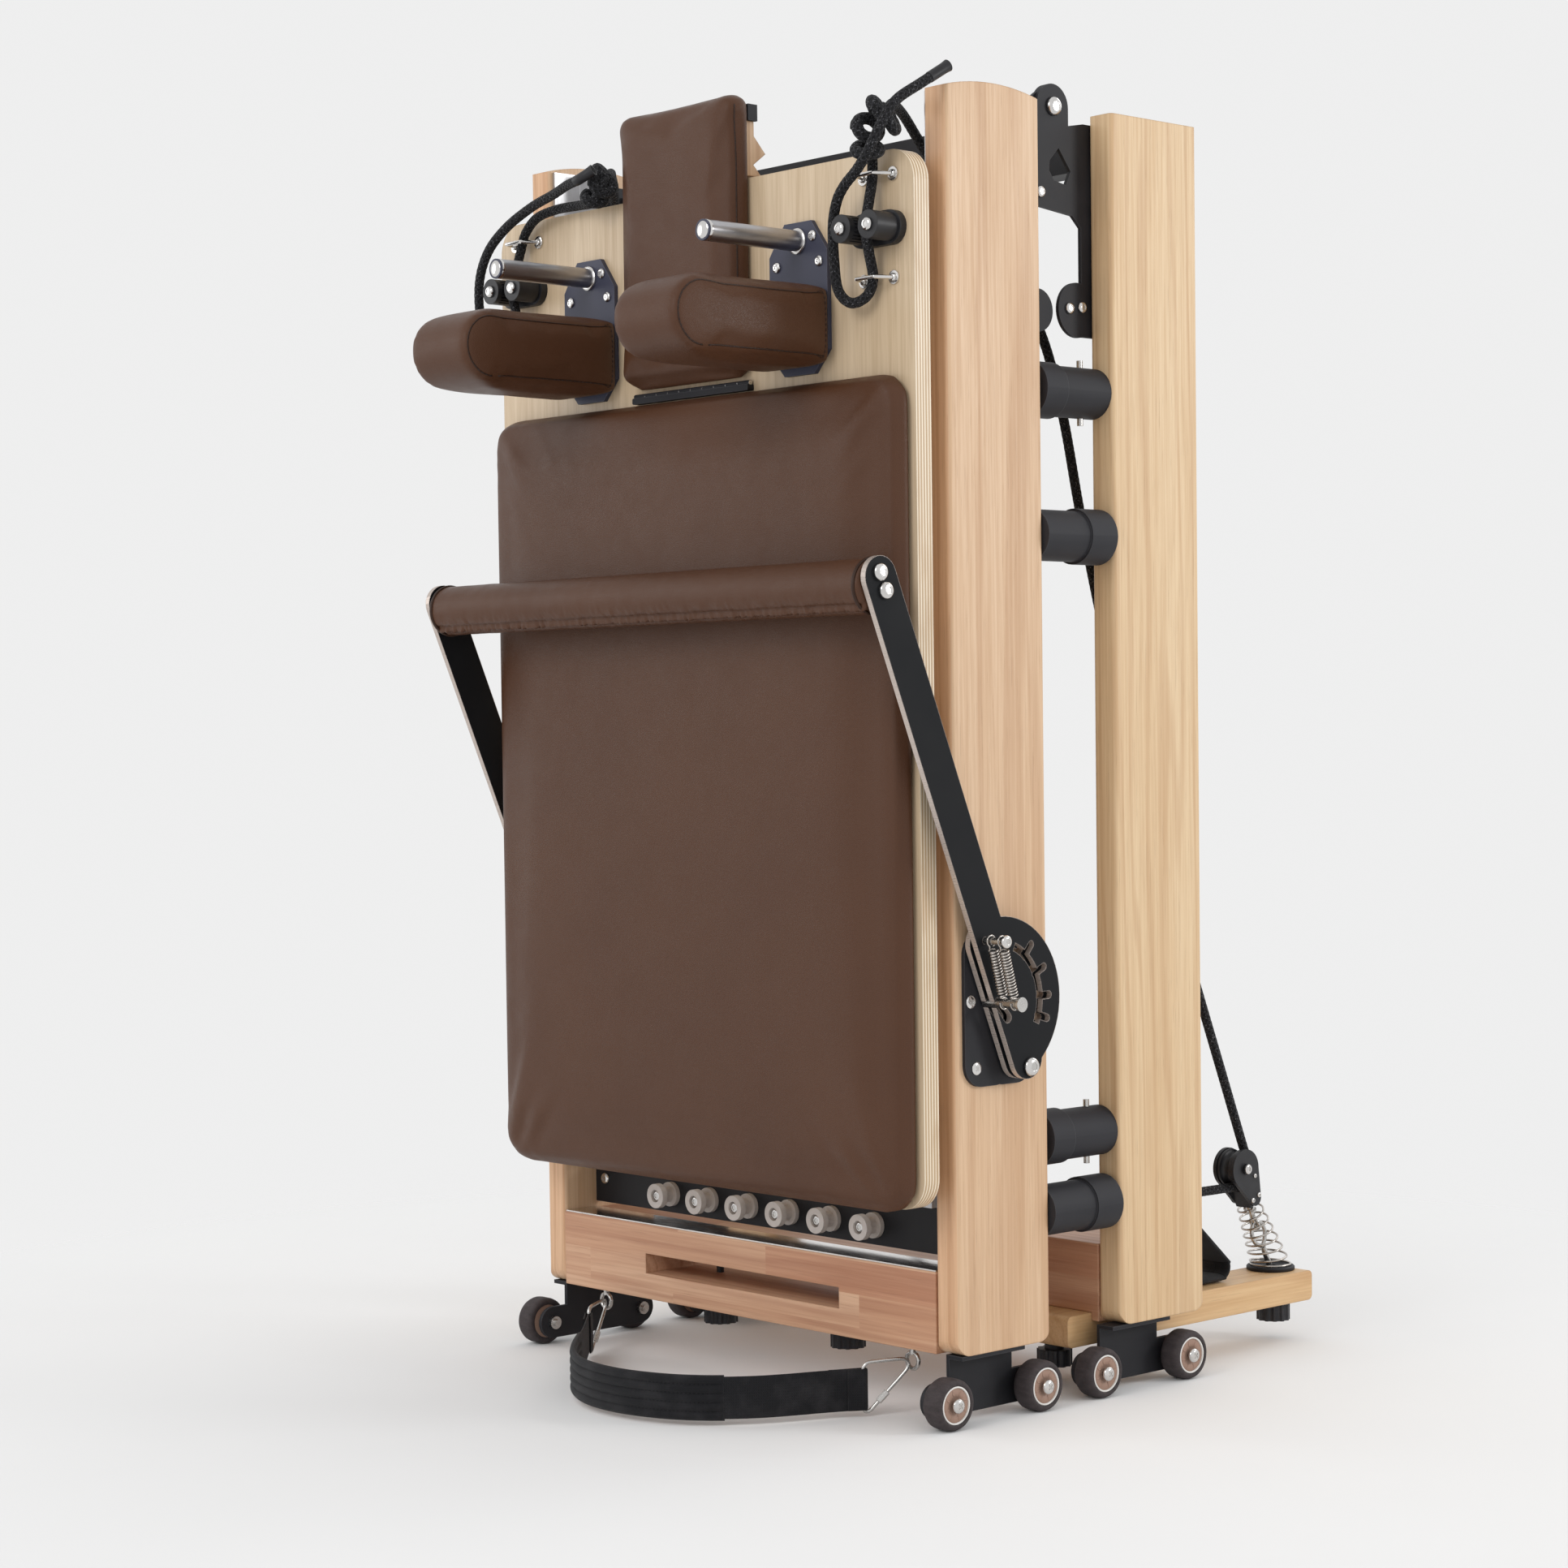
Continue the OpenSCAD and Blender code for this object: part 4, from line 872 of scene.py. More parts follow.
def pad_outline(inset, grow=0.0):
    """The stadium-shaped side of a shoulder rest as (y, z) pairs: round in front, square at its bracket."""
    low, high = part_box("shoulder_pads")
    y0, y1 = (low.y - ORIGIN.y) / MM + 2 + inset, (high.y - ORIGIN.y) / MM - 0.8 - inset * 0.4
    z0, z1 = (low.z - ORIGIN.z) / MM + 2 + inset, (high.z - ORIGIN.z) / MM - 2 - inset
    r = (z1 - z0) / 2
    middle = (z0 + z1) / 2
    points = [(y0 + r - r * math.cos(a), middle + r * math.sin(a))
              for a in np.linspace(-math.pi / 2, math.pi / 2, 25)]
    points = points[::-1] if points[0][1] > points[-1][1] else points
    steps = 22
    upper = [(y0 + r + (y1 - y0 - r) * k / steps, z1) for k in range(1, steps)]
    back = [(y1, z1 + (z0 - z1) * k / 10) for k in range(11)]
    lower = [(y1 + (y0 + r - y1) * k / steps, z0) for k in range(1, steps)]
    return points + upper + back + lower


def shoulder_pad(side):
    """A shoulder rest: a wide band round a stadium-shaped core, with crowned side panels."""
    low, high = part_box("shoulder_pads")
    x0, x1 = SHOULDER_X - 48 + 1.5, SHOULDER_X + 48 - 1.5
    rows = slab_rows(pad_outline, edge_levels(x0, x1, 7, 7), lambda y, z, x: at(side * x, y, z))
    word = SIDE_NAME[side]
    obj = Form().loft(rows).make(f"shoulder_pad_{word}", LEATHER, "carriage", "leather", 180)
    return remeshed(obj, 4.5)


def surface_of(obj):
    """A finder of the nearest place on a piece's finished surface."""
    return BVHTree.FromObject(obj, bpy.context.evaluated_depsgraph_get())


def laid(tree, points, lift=0.0):
    """Places on a surface that are nearest to the given ones, lifted off it by some millimetres."""
    found = []
    for point in points:
        place, normal, _, _ = tree.find_nearest(point)
        found.append(place + normal * lift * MM)
    return found


def seam(name, tree, path, body, closed=True, pitch=5.0, gap=1.6, thickness=0.55):
    """A sewn seam: a fine sunken cord in the shaded copy of the leather, painted shade along the seam, with a row of
    stitches beside it.
    """
    line = laid(tree, path, -0.25)
    # The cord is in the shaded copy of the leather: painted shade along the seam.
    Form().tube(line, 0.9 * MM, 8, closed=closed).make(f"{name}_welt", SHADED_LEATHER, body, "leather", 180)
    form = Form()
    marks = curve([tuple(p / MM) for p in laid(tree, path, 0.15)], pitch, closed)
    for k in range(len(marks) - 1):
        ends = [Vector(marks[k]).lerp(Vector(marks[k + 1]), t) * MM for t in (0.18, 0.5, 0.82)]
        form.tube(laid(tree, ends, thickness * 0.6), [0.25 * MM, thickness * MM, 0.25 * MM], 6)
    form.make(f"{name}_stitches", THREAD, body, "leather", 180)


def footbar_roll():
    """The padded grip: a leather sleeve, drawn together in a puckered seam, between two rims."""
    y, z = on_arm(ROLL_U)
    steps, sides = 300, 96
    seam_angle = math.radians(236)      # where the seam runs, from +Y towards +Z
    rows, lengths = [], []
    for i in range(steps + 1):
        x = -330.5 + 661 * i / steps
        row = []
        end = min(1.0, (330.5 - abs(x)) / 5)
        for k in range(sides):
            a = math.tau * k / sides
            off = abs((a - seam_angle + math.pi) % math.tau - math.pi)
            near = math.exp(-(off / 0.5) ** 2)
            pucker = noise.noise(Vector((x * 0.07, math.cos(a) * 2.2, math.sin(a) * 2.2)))
            fold = noise.noise(Vector((x * 0.22, 4.0, off * 3)))
            ridge = math.exp(-(off / 0.08) ** 2) * (2.2 + 1.8 * fold)
            groove = -1.7 * math.exp(-((off - 0.2) / 0.08) ** 2)
            r = 25.7 + 0.25 * pucker + near * (0.8 * pucker + 1.5 * fold) + ridge + groove
            r = 18.6 + (r - 18.6) * math.sqrt(max(0.02, 1 - (1 - end) ** 2))
            row.append(at(x, y + r * math.cos(a), z + r * math.sin(a)))
        rows.append(row)
        lengths.append((x + 331) * MM)
    obj = Form().loft(rows, lengths + [lengths[-1]]).make("footbar_grip", LEATHER, "footbar", "leather", 180)
    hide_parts("footbar_roll")
    for side in SIDES:
        profile = [(26.0, 322.5), (27.0, 323.2), (27.4, 324.6), (27.0, 326), (26.0, 326.6), (24.5, 326),
                   (24.5, 323), (26.0, 322.5)]
        form = Form().turned(at(0, y, z), (side, 0, 0), [(r * MM, x * MM) for r, x in profile], 72)
        # The rims are in the shaded copy of the leather: painted shade.
        form.make(f"footbar_rim_{SIDE_NAME[side]}", SHADED_LEATHER, "footbar", "leather", 180)


def cushions():
    bed, head = mattress(), headrest()
    pads = {side: shoulder_pad(side) for side in SIDES}
    bed_side, board = at(0, BOARD_FACE - 14, 0).y, at(0, BOARD_FACE - 5, 0).y
    bracket = at(0, BOARD_FACE - 9, 0).y
    jobs = [(bed, lambda p: p.y > bed_side, 5.0, 4.0), (head, lambda p: p.y > board, 4.0, 4.0)]
    jobs += [(pad, lambda p: p.y > bracket, 4.0, 4.0) for pad in pads.values()]
    puffed(jobs)
    dented(bed, mattress_pleats)
    for obj, nodes, fill in [(bed, ["mattress"], 0.9), (head, ["headrest"], 0.85),
                             (pads[1], ["shoulder_pads"], 0.85), (pads[-1], ["shoulder_pads"], 0.85)]:
        relaxed(obj)
        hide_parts(*nodes)
    bpy.context.view_layer.update()
    for side, pad in pads.items():
        tree = surface_of(pad)
        for face, x in (("outer", SHOULDER_X + 48), ("inner", SHOULDER_X - 48)):
            ring = [at(side * x, y, z) for y, z in pad_outline(5.5) if y < BOARD_FACE - 12]
            seam(f"pad_{SIDE_NAME[side]}_{face}", tree, ring, "carriage", closed=False)
    tree = surface_of(head)
    low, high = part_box("headrest")
    for side in SIDES:
        rim = [Vector((side * (high.x + 0.004), ORIGIN.y + (CUSHION_FACE + 9) * MM, z))
               for z in np.linspace(low.z + 0.03, high.z - 0.012, 60)]
        seam(f"headrest_{SIDE_NAME[side]}", tree, rim, "headrest", closed=False)


# ------------------------------------------------------------------ straps

def ribbon(form, path, half_width, section, up=(0, 0, 1)):
    """Carries a flat outline along a path: section(share) gives (across, through) pairs in millimetres."""
    points = np.array(path, float)
    tangents = np.gradient(points, axis=0)
    tangents /= np.linalg.norm(tangents, axis=1)[:, None]
    lengths = np.concatenate([[0], np.cumsum(np.linalg.norm(np.diff(points, axis=0), axis=1))]) * MM
    rows = []
    for i, (point, tangent) in enumerate(zip(points, tangents)):
        through = np.cross(tangent, up)
        through /= np.linalg.norm(through)
        across = np.cross(through, tangent)
        rows.append([at(*(point + across * a * half_width + through * t)) for a, t in section(i / len(points))])
    return form.loft(rows, list(lengths) + [lengths[-1]])


def tape_section(thickness, edges=6, wide=16):
    """A flat tape with round edges."""
    def section(_):
        upper = [(math.cos(math.pi * k / wide), thickness / 2) for k in range(wide + 1)]
        outline = [(a, t * (1 - abs(a) ** 24 * 0.6)) for a, t in upper]
        return outline + [(a, -t) for a, t in reversed(outline)]
    return section


def sleeve_section(channels=5, thin=2.0, thick=7.2, fine=10):
    """A padded sleeve: stuffed channels between sewn lines, closed softly at both ends."""
    def section(share):
        ends = min(1.0, share / 0.045, (1 - share) / 0.045)
        count = channels * fine
        outline = []
        for k in range(count + 1):
            a = 1 - 2 * k / count
            swell = abs(math.sin(math.pi * channels * k / count)) ** 0.6
            depth = thin + (thick - thin) * swell * math.sqrt(max(0.0, ends * (2 - ends)))
            outline.append((a, depth / 2))
        return outline + [(a, -t) for a, t in reversed(outline)]
    return section


def foot_strap():
    """The foot strap: a webbing tape from link to link, padded by a channelled sleeve over most of its way."""
    middle = (STRAP_Z[0] + STRAP_Z[1]) / 2
    flat = curve(STRAP_ROUTE, 3)
    line = [(x, y, middle) for x, y in flat]
    count = len(line)
    first = next(i for i, p in enumerate(line) if p[0] < 148)
    last = next(i for i, p in enumerate(line) if p[0] < -128)
    loops = []
    for end, other in ((0, 9), (-1, -10)):
        hook, inner = Vector(line[end]), Vector(line[other])
        way = (hook - inner).normalized()
        aside = Vector((way.y, -way.x, 0))
        turn = [hook + way * 3.6 * math.sin(a) + aside * 3.6 * math.cos(a)
                for a in np.linspace(math.pi, 0, 9)]
        loops.append((hook, way, aside, turn))
    start = loops[0]
    finish = loops[1]
    outer = [tuple(p) for p in start[3]]
    outer_end = [tuple(p) for p in finish[3]]
    first_loop = curve([tuple(start[0] - start[1] * 34 - start[2] * 3.6 + start[2] * 0.4)] + outer
                       + [tuple(start[0] - start[1] * 16 + start[2] * 2.2)], 1.5)
    second_loop = curve([tuple(finish[0] - finish[1] * 34 - finish[2] * 3.2)] + outer_end
                        + [tuple(finish[0] - finish[1] * 16 + finish[2] * 2.2)], 1.5)
    form = Form()
    ribbon(form, line[2:count - 2], 20.5, tape_section(2.4))
    ribbon(form, first_loop, 20.2, tape_section(1.9))
    ribbon(form, second_loop, 20.2, tape_section(1.9))
    strap = form.make("foot_strap_webbing", WEBBING, "front_frame", "webbing", 60)
    sleeve = ribbon(Form(), line[first:last], 22, sleeve_section())
    sleeve = sleeve.make("foot_strap_sleeve", SLEEVE, "front_frame", "webbing", 180)
    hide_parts("foot_strap")
    stitches = Form()
    for face in SIDES:
        for row in (-0.6, -0.2, 0.2, 0.6):
            side_line = []
            for i in range(first + 4, last - 4):
                tangent = (Vector(line[i + 1]) - Vector(line[i - 1])).normalized()
                side_line.append(Vector(line[i]) + tangent.cross(Vector((0, 0, 1))) * face * 1.15
                                 + Vector((0, 0, 22 * row)))
            marks = curve([tuple(p) for p in side_line], 4.2)
            for k in range(len(marks) - 1):
                a, b = Vector(marks[k]), Vector(marks[k + 1])
                stitches.tube([at(*a.lerp(b, t)) for t in (0.15, 0.5, 0.85)],
                              [0.2 * MM, 0.45 * MM, 0.2 * MM], 5)
    stitches.make("foot_strap_stitches", BLACK_THREAD, "front_frame", "webbing", 180)


def strap_link(side):
    """The eye under the cross board, and the three-sided link with its sleeve nut."""
    word = SIDE_NAME[side]
    eye = Form()
    eye.turned(at(side * 236, 16, -9), (0, 0, 1),
               [(0.5 * MM, 0), (3.0 * MM, 0.2 * MM), (3.0 * MM, 6.5 * MM), (7.0 * MM, 6.6 * MM), (7.0 * MM, 8.8 * MM),
                (0.5 * MM, 8.9 * MM)], 32)
    ring = [at(side * (236 + 8 * math.cos(a)), 16, -15 + 8 * math.sin(a))
            for a in np.linspace(0, math.tau, 40, endpoint=False)]
    eye.tube(ring, 2.2 * MM, 14, closed=True)
    eye_piece = eye.make(f"strap_eye_{word}", STAINLESS, "front_frame", "stainless")
    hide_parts("strap_rings")

    def on_link(a, b):
        middle = (STRAP_Z[0] + STRAP_Z[1]) / 2
        return at(side * (STRAP_END[0] + a * math.cos(LINK_TURN)), STRAP_END[1] + a * math.sin(LINK_TURN), middle + b)
    corners = [(0, -14), (0, 0), (0, 14), (0.5, 21), (5, 25.5), (14, 26.4), (28, 27), (40, 27), (45.5, 24),
               (45, 18), (38, 10), (26, -2), (13, -15), (7, -21), (2.2, -22), (0.2, -19)]
    path = [on_link(a, b) for a, b in curve(corners, 1.5, closed=True)]
    link = Form().tube(path, 1.9 * MM, 14, closed=True)
    nut = [(2.0, -6.5), (3.3, -6.3), (3.4, 0), (3.3, 6.3), (2.0, 6.5)]
    way = on_link(26, -2) - on_link(13, -15)
    link.turned(on_link(19.5, -8.5), way, [(r * MM, h * MM) for r, h in nut], 6)
    link.make(f"strap_link_{word}", STAINLESS, "front_frame", "stainless")


def hand_strap(side):
    """The padded hand loop that lies on its post."""
    word = SIDE_NAME[side]
    circles = [(386, 88, 8), (454, 24, 11), (372, 22, 9)]
    dots = [(y + r * math.cos(a), z + r * math.sin(a)) for y, z, r in circles
            for a in np.linspace(0, math.tau, 36, endpoint=False)]
    outline = [dots[i] for i in convex_hull_2d([Vector(d) for d in dots])]
    loop = curve([(side * ROPE_X, y, z) for y, z in outline], 3, closed=True)
    tangents = np.roll(loop, -1, 0) - np.roll(loop, 1, 0)
    rows = []
    for point, tangent in zip(loop, tangents):
        tangent = tangent / np.linalg.norm(tangent)
        outward = np.cross(tangent, (1, 0, 0))
        section = []
        for k in range(40):
            a = math.tau * k / 40
            wide = math.copysign(abs(math.cos(a)) ** 0.55, math.cos(a))
            deep = math.copysign(abs(math.sin(a)) ** 0.8, math.sin(a))
            section.append(at(*(point + np.array((1, 0, 0)) * 19.5 * wide + outward * 3.8 * deep)))
        rows.append(section)
    lengths = [i * 3 * MM for i in range(len(rows) + 1)]
    obj = Form().loft(rows, lengths, closed=True).make(f"hand_loop_{word}", SLEEVE, "rear_frame", "webbing", 180)
    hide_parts("hand_straps")
    stitches = Form()
    for edge in SIDES:
        rim = []
        for point, tangent in zip(loop, tangents):
            tangent = tangent / np.linalg.norm(tangent)
            rim.append(tuple(point + np.cross(tangent, (1, 0, 0)) * 3.25 + np.array((edge * 14.5, 0, 0))))
        marks = curve(rim, 4.5, closed=True)
        for k in range(len(marks) - 1):
            a, b = Vector(marks[k]), Vector(marks[k + 1])
            stitches.tube([at(*a.lerp(b, t)) for t in (0.15, 0.5, 0.85)], [0.2 * MM, 0.5 * MM, 0.2 * MM], 5)
    stitches.make(f"hand_loop_stitches_{word}", BLACK_THREAD, "rear_frame", "webbing", 180)


# ---------------------------------------------------------------- hardware

def hexagon(reach):
    """The radius of a hexagonal socket."""
    def radius(angles):
        return [reach * 0.9 / math.cos((a + math.pi / 6) % (math.pi / 3) - math.pi / 6) for a in angles]
    return radius


def cross_slot(reach):
    """The radius of a cross-shaped driver slot."""
    def radius(angles):
        made = []
        for a in angles:
            sine, cosine = max(abs(math.sin(a)), 1e-6), max(abs(math.cos(a)), 1e-6)
            made.append(reach * max(min(1 / cosine, 0.3 / sine), min(1 / sine, 0.3 / cosine)))
        return made
    return radius


def screw_head(form, centre, way, radius, height, slot=hexagon, share=0.45):
    """A domed screw head with a real socket, seated on the head in the CAD."""
    r, h = (radius + 0.25) * MM, (height + 0.5) * MM
    hole = slot(r * share)
    deeper = slot(r * share * 0.9)
    profile = [(r * 0.9, 0), (r, 0.1 * h), (r, 0.35 * h), (r * 0.95, 0.58 * h), (r * 0.84, 0.8 * h), (r * 0.68, 0.95 * h),
               (r * 0.56, h), (hole, h), (deeper, h * 0.45), (r * 0.05, h * 0.42)]
    form.turned(centre, way, profile, 48)


SCREWS = {
    # body: [(x, y, z, way, radius, height, socket), ...] for the right side; the left mirrors it
    "front_frame": [
        (325.4, -13, -42, (1, 0, 0), 7, 4, cross_slot), (325.4, 111, -42, (1, 0, 0), 7, 4, cross_slot),
        (338.4, *PIVOT, (1, 0, 0), 9, 5, hexagon), (319, 17, 339, (1, 0, 0), 6, 1.2, cross_slot),
        (319, 24, 275, (1, 0, 0), 6, 1.2, cross_slot), (285.4, *HINGE, (1, 0, 0), 9, 5, hexagon),
        (268, 44, 112, (0, -1, 0), 6, 3, cross_slot), (31.25, 25, 106, (0, -1, 0), 6, 3, hexagon),
        (93.75, 25, 106, (0, -1, 0), 6, 3, hexagon), (156.25, 25, 106, (0, -1, 0), 6, 3, hexagon)],
    "rear_frame": [
        (325.4, 198, -42, (1, 0, 0), 7, 4, cross_slot), (325.4, 327, -42, (1, 0, 0), 7, 4, cross_slot),
        (285, 160, 1120, (1, 0, 0), 5.5, 3, hexagon), (285, 200, 1010, (1, 0, 0), 5.5, 3, hexagon),
        (285, 218, 1012, (1, 0, 0), 5.5, 3, hexagon)],
    "footbar": [
        (ARM_FACE, *on_arm(ARM_BOLTS[0]), (1, 0, 0), 8, 5, hexagon),
        (ARM_FACE, *on_arm(ARM_BOLTS[1]), (1, 0, 0), 8, 5, hexagon), (365, *STUD, (1, 0, 0), 6, 3, hexagon)],
    "carriage": [
        (181, -47, 1071, (0, -1, 0), 5, 2, cross_slot), (190, -47, 1046, (0, -1, 0), 5, 2, cross_slot),
        (130, -47, 1046, (0, -1, 0), 5, 2, cross_slot), (139, -47, 1071, (0, -1, 0), 5, 2, cross_slot),
        (251.5, -77.4, 1066, (0, -1, 0), 6, 3, hexagon), (288.5, -77.4, 1066, (0, -1, 0), 6, 3, hexagon),
        (248, -44, 1116, (0, -1, 0), 3.6, 1.8, cross_slot), (288, -44, 1116, (0, -1, 0), 3.6, 1.8, cross_slot),
        (248, -44, 1020, (0, -1, 0), 3.6, 1.8, cross_slot), (288, -44, 1020, (0, -1, 0), 3.6, 1.8, cross_slot)],
}


def screws():
    for body, places in SCREWS.items():
        form = Form()
        for side in SIDES:
            for x, y, z, way, radius, height, slot in places:
                screw_head(form, at(side * x, y, z), (side * way[0], way[1], way[2]), radius, height, slot)
        form.make(f"screw_heads_{body}", CHROME, body, "stainless", 35)


def latch_spring(side, x):
    """A close-wound tension spring from the stud down to the latch pin, with a hook at each end."""
    stud, pin = at(side * x, *STUD), at(side * x, *LATCH)
    way = (pin - stud).normalized()
    top, low = stud + way * 8 * MM, pin - way * 8 * MM
    coil = helix(top, low, (4.4 * MM, 4.4 * MM), 16, 18)
    form = Form().tube(coil, 0.95 * MM, 8)
    for centre, start in ((stud, coil[0]), (pin, coil[-1])):
        toward = (start - centre).normalized()
        aside = toward.cross(Vector((1, 0, 0)))
        hook = [centre + (toward * math.cos(a) + aside * math.sin(a)) * 5.4 * MM
                for a in np.linspace(0.25, math.tau - 0.6, 22)]
        form.tube([start] + hook, 0.85 * MM, 8)
    return form.make(f"latch_spring_{SIDE_NAME[side]}_{x}", WIRE, "footbar", "stainless", 180)


def wheel(side, node, number):
    """A transport wheel: a crowned tyre, a white ring and a hub with raised ribs."""
    low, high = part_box(node)
    centre = Vector((0, (low.y + high.y) / 2, (low.z + high.z) / 2))
    outer, way = high.x / MM, (side, 0, 0)
    name = f"wheel_{number}_{SIDE_NAME[side]}"
    tyre = [(18.0, 1.5), (21.0, 0.8), (23.2, 1.5), (24.5, 3.4), (24.95, 6.5), (24.95, 17), (24.6, 20), (23.4, 22.6),
            (21.4, 23.8), (19.3, 23.9), (18.6, 23.2), (18.4, 21.8), (18.0, 20), (18.0, 1.5)]
    form = Form().turned(centre, way, [(r * MM, (outer - 24 + x) * MM) for r, x in tyre], 96)
    obj = form.make(f"{name}_tyre", TYRE, node, "tyre", 60)
    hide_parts(node)
    ring = [(18.5, 20.5), (18.45, 22.8), (17.9, 23.4), (16.9, 23.3), (16.6, 22.6), (16.6, 20.5), (18.5, 20.5)]
    form = Form().turned(centre, way, [(r * MM, (outer - 24 + x) * MM) for r, x in ring], 96)
    form.make(f"{name}_ring", RING, node, "white_plastic", 60)
    hub = [(4.2, 2), (18.0, 2.2), (18.0, 6), (16.6, 7), (16.6, 21.6), (16.0, 22.3), (8.6, 22.0), (8.0, 21.2), (4.2, 21.2),
           (4.2, 2)]
    form = Form().turned(centre, way, [(r * MM, (outer - 24 + x) * MM) for r, x in hub], 96)
    for k in range(8):
        a = math.tau * (k + 0.3) / 8
        spot = [centre + Vector((side * (outer - 2.0) * MM, r * MM * math.cos(a + bend), r * MM * math.sin(a + bend)))
                for r, bend in ((9.6, 0.0), (11.8, 0.10), (14.6, 0.02))]
        form.tube(spot, 0.7 * MM, 8)
    form.make(f"{name}_hub", HUB, node, "white_plastic", 60)


def on_pulley(side, x, y, z):
    """A place on the leaning pulley: from its sheave, z along the line away from its mount."""
    lean = math.atan2(DISC_Y - SHEAVE[0], SHEAVE[1] - POST_TOP)
    return at(side * (ROPE_X + x), SHEAVE[0] + y * math.cos(lean) - z * math.sin(lean),
              SHEAVE[1] + y * math.sin(lean) + z * math.cos(lean))


def pulley_mount(side):
    """The disc on the post, the cone-shaped spring, and the eye bolt and shackle inside it."""
    word = SIDE_NAME[side]
    centre = at(side * ROPE_X, DISC_Y, POST_TOP)
    disc = [(6.0, 0.0), (25.4, 0.0), (26.0, 0.8), (26.0, 3.6), (24.8, 4.9), (16.5, 5.0), (15.5, 4.2), (6.5, 4.2), (6.0, 3.4),
            (6.0, 0.0)]
    form = Form().turned(centre, (0, 0, 1), [(r * MM, h * MM) for r, h in disc], 72)
    plate = form.make(f"pulley_disc_{word}", BLACK_STEEL, "rear_frame", "black_steel", 40)
    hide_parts("pulley_mounts")
    base, tip = centre + Vector((0, 0, 6.3)) * MM, on_pulley(side, 0, 0, -47)
    coil = helix(base, tip, (21.5 * MM, 12.5 * MM), 6.6, 40, flat=(0, 0, 1))
    ring = [base + Vector((math.cos(a), math.sin(a), 0)) * 21.5 * MM
            for a in np.linspace(0, math.tau, 48, endpoint=False)]
    form = Form().tube(coil, 1.15 * MM, 10)
    form.tube(ring, 1.15 * MM, 10, closed=True)
    form.make(f"pulley_spring_{word}", WIRE, "rear_frame", "stainless", 180)
    bolt = Form()
    foot, neck = centre + Vector((0, 0, 1)) * MM, on_pulley(side, 0, 0, -101)
    bolt.tube([foot, foot.lerp(neck, 0.5), neck], 3.1 * MM, 16)
    up = (on_pulley(side, 0, 0, 0) - on_pulley(side, 0, 0, -10)).normalized()
    across = up.cross(Vector((1, 0, 0))).normalized()
    middle = on_pulley(side, 0, 0, -84)
    drop = []
    for a in np.linspace(0, math.tau, 44, endpoint=False):
        squeeze = 1 - 0.35 * max(0.0, -math.sin(a)) ** 2
        drop.append(middle + (across * math.cos(a) * 10.5 * squeeze + up * math.sin(a) * 14.5) * MM)
    bolt.tube(drop, 2.3 * MM, 14, closed=True)
    jaw = [on_pulley(side, 0, 0, z) for z in (-74, -66, -58, -50, -44)]
    bolt.tube(jaw, [2.2 * MM, 3.4 * MM, 3.0 * MM, 4.4 * MM, 4.4 * MM], 16)
    link = [on_pulley(side, 5.2 * math.cos(a), 0, -70.5 + 6.4 * math.sin(a))
            for a in np.linspace(0, math.tau, 32, endpoint=False)]
    bolt.tube(link, 2.0 * MM, 12, closed=True)
    bolt.turned(on_pulley(side, -6.5, 0, -52), (side, 0, 0),
                [(0.4 * MM, 0), (3.2 * MM, 0.2 * MM), (3.2 * MM, 12.8 * MM), (0.4 * MM, 13 * MM)], 24)
    bolt.make(f"pulley_eye_{word}", STAINLESS, "rear_frame", "stainless", 60)


def pulley_trim(side):
    """The axle caps and cheek screws of a pulley block."""
    form = Form()
    for x, y, z, r in ((17, 0, 0, 5.0), (14, -5.6, -36, 2.6), (14, 5.6, -36, 2.6), (14, 9, -14, 2.2)):
        screw_head(form, on_pulley(side, x, y, z), (side, 0, 0), r, 1.4, hexagon)
    form.turned(on_pulley(side, -14, 0, 0), (-side, 0, 0),
                [(5 * MM, 0), (5 * MM, 1.2 * MM), (4 * MM, 1.9 * MM), (0.3 * MM, 2 * MM)], 32)
    form.make(f"pulley_screws_{SIDE_NAME[side]}", CHROME, "rear_frame", "stainless", 35)


def peg_end(side):
    """The bright rounded end and the collar of a shoulder peg."""
    low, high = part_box("shoulder_brackets")
    tip = Vector((side * SHOULDER_X * MM, low.y, at(0, 0, 1068).z))
    form = Form()
    form.turned(tip, (0, 1, 0), [(0.3 * MM, -1.0 * MM), (6.5 * MM, -0.8 * MM), (9.3 * MM, 0.6 * MM), (10.3 * MM, 2.6 * MM),
                                 (10.3 * MM, 5 * MM), (0.3 * MM, 5.2 * MM)], 48)
    root = Vector((tip.x, high.y - 5.0 * MM, tip.z))
    form.turned(root, (0, -1, 0), [(0.3 * MM, 0), (12.5 * MM, 0.1 * MM), (12.5 * MM, 2.2 * MM), (11.6 * MM, 3 * MM),
                                   (10.2 * MM, 3.1 * MM), (0.3 * MM, 3.2 * MM)], 48)
    form.make(f"peg_ends_{SIDE_NAME[side]}", CHROME, "carriage", "aluminium", 40)


def piano_hinge():
    """The black hinge below the headrest: its leaf, and the row of knuckles on its pin."""
    outline = rounded_outline((-88.5, 931.9), (88.5, 938.1), 1.5, 4, 4)
    form = Form().loft([[at(x, y, z) for x, z in outline] for y in (-42.2, -50.2, -50.5)])
    for k in range(10):
        form.turned(at(-88.3 + 17.7 * k, -46, 939.5), (1, 0, 0),
                    [(0.3 * MM, 0), (2.7 * MM, 0.2 * MM), (2.7 * MM, 16.8 * MM), (0.3 * MM, 17 * MM)], 24)
    form.make("piano_hinge", BLACK_STEEL, "carriage", "black_steel", 40)


# ------------------------------------------------------------------ stage

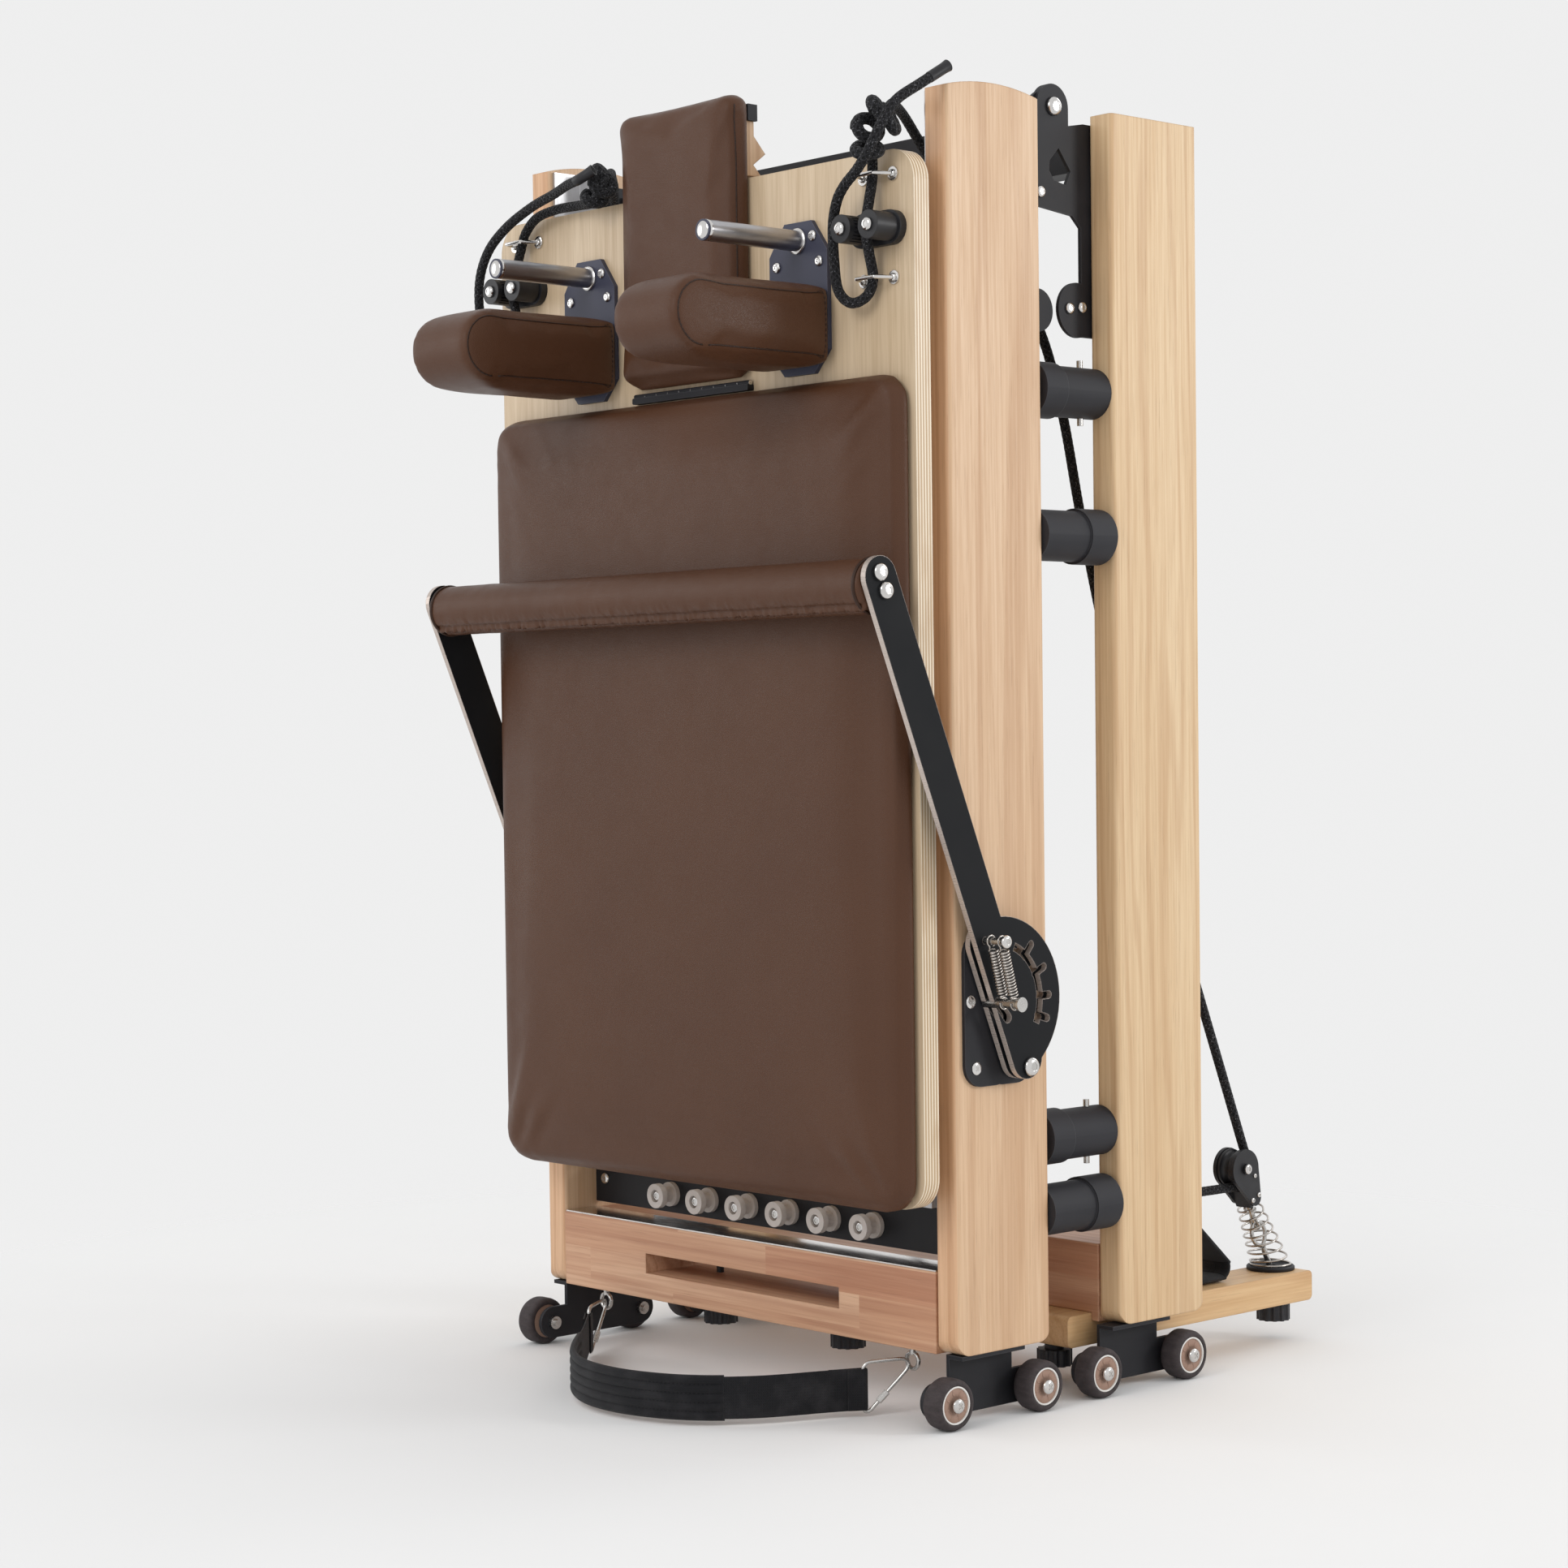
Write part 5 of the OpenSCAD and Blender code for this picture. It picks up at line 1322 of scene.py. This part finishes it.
def studio():
    """A plain pale floor and broad soft lights."""
    side = 30
    mesh = bpy.data.meshes.new("floor")
    mesh.from_pydata([(-side, -side, 0), (side, -side, 0), (side, side, 0), (-side, side, 0)], [], [(0, 1, 2, 3)])
    mesh.materials.append(floor_paint())
    floor = bpy.data.objects.new("floor", mesh)
    floor.location.z = CAD_BOX[0].z - 0.0002
    scene.collection.objects.link(floor)
    world = bpy.data.worlds.new("studio")
    world.use_nodes = True
    background = world.node_tree.nodes["Background"]
    background.inputs["Color"].default_value = (1, 1, 1, 1)
    background.inputs["Strength"].default_value = 0.86
    scene.world = world
    target = Vector((0, 0, 0.62))
    for name, place, size, power in (("key", (0.6, -3.6, 2.6), 1.8, 34), ("side", (3.4, 2.4, 1.7), 1.1, 38),
                                     ("fill", (-3.2, -2.2, 1.6), 1.6, 14), ("back", (0.5, 3.6, 2.8), 2.4, 20)):
        light = bpy.data.lights.new(name, "AREA")
        light.shape, light.size, light.energy = "DISK", size, power
        obj = bpy.data.objects.new(name, light)
        scene.collection.objects.link(obj)
        obj.location = place
        obj.rotation_euler = (target - Vector(place)).to_track_quat("-Z", "Y").to_euler()


# ------------------------------------------------------------------- whole

def finishes():
    """Materials and softened edges of the CAD nodes that stay in view."""
    paint(RAIL_WOOD, "front_rails")
    paint(REAR_WOOD, "rear_rails")
    paint(BOARD_WOOD, "front_end_board", "rear_end_board")
    paint(POST_WOOD, "posts")
    paint(PROP_WOOD, "headrest_prop")
    paint(PLY, "carriage_board")
    paint(BLACK_STEEL, "spring_bar", "front_hinge_plates", "rear_hinge_plates", "footbar_base_plates",
          "front_wheel_plates", "rear_wheel_plates", "front_cross_ties", "rear_cross_tie", "roller_brackets",
          "headrest_bracket")
    paint(LEG_STEEL, "front_legs", "rear_legs")
    paint(GREY_STEEL, "shoulder_brackets")
    paint(PLATE, "footbar_arms")
    paint(STAINLESS, "front_fasteners", "rear_fasteners", "footbar_fasteners", "latch_pins", "footbar_tube")
    paint(CHROME, "carriage_fittings")
    paint(TRACK, "front_tracks", "rear_tracks")
    paint(MIRROR, "guard_sheet")
    paint(SPOOL, "spring_spools", "rollers_lower", "rollers_upper")
    paint(BLACK_PLASTIC, "cleat_bases", "cam_right_outer", "cam_right_inner", "cam_left_inner", "cam_left_outer",
          "pulley_blocks", "pulley_sheaves")
    paint(KNOB_PLASTIC, "clamp_knobs", "feet_near", "feet_far")
    soften(1.2, "front_end_board", "rear_end_board", "carriage_board")


def peg_sleeve(side):
    """The brushed aluminium of a shoulder peg over the painted one."""
    low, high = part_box("shoulder_brackets")
    tip = Vector((side * SHOULDER_X * MM, low.y + 4 * MM, at(0, 0, 1068).z))
    reach = high.y - low.y - 9 * MM
    form = Form().turned(tip, (0, 1, 0), [(0.3 * MM, 0), (10.1 * MM, 0.01 * MM), (10.1 * MM, reach), (0.3 * MM, reach)], 64)
    form.make(f"peg_sleeve_{SIDE_NAME[side]}", ALUMINIUM, "carriage", "aluminium", 40)


finishes()
cushions()
footbar_roll()
foot_strap()
screws()
piano_hinge()
for side in SIDES:
    strap_link(side)
    hand_strap(side)
    pulley_mount(side)
    pulley_trim(side)
    peg_sleeve(side)
    peg_end(side)
    for number, node in enumerate(("wheels_front_outer", "wheels_front_inner", "wheels_rear_inner",
                                   "wheels_rear_outer")):
        wheel(side, node, number)
latch = [latch_spring(side, x) for side in SIDES for x in SPRING_XS]
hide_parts("latch_springs")
studio()

bpy.context.view_layer.update()
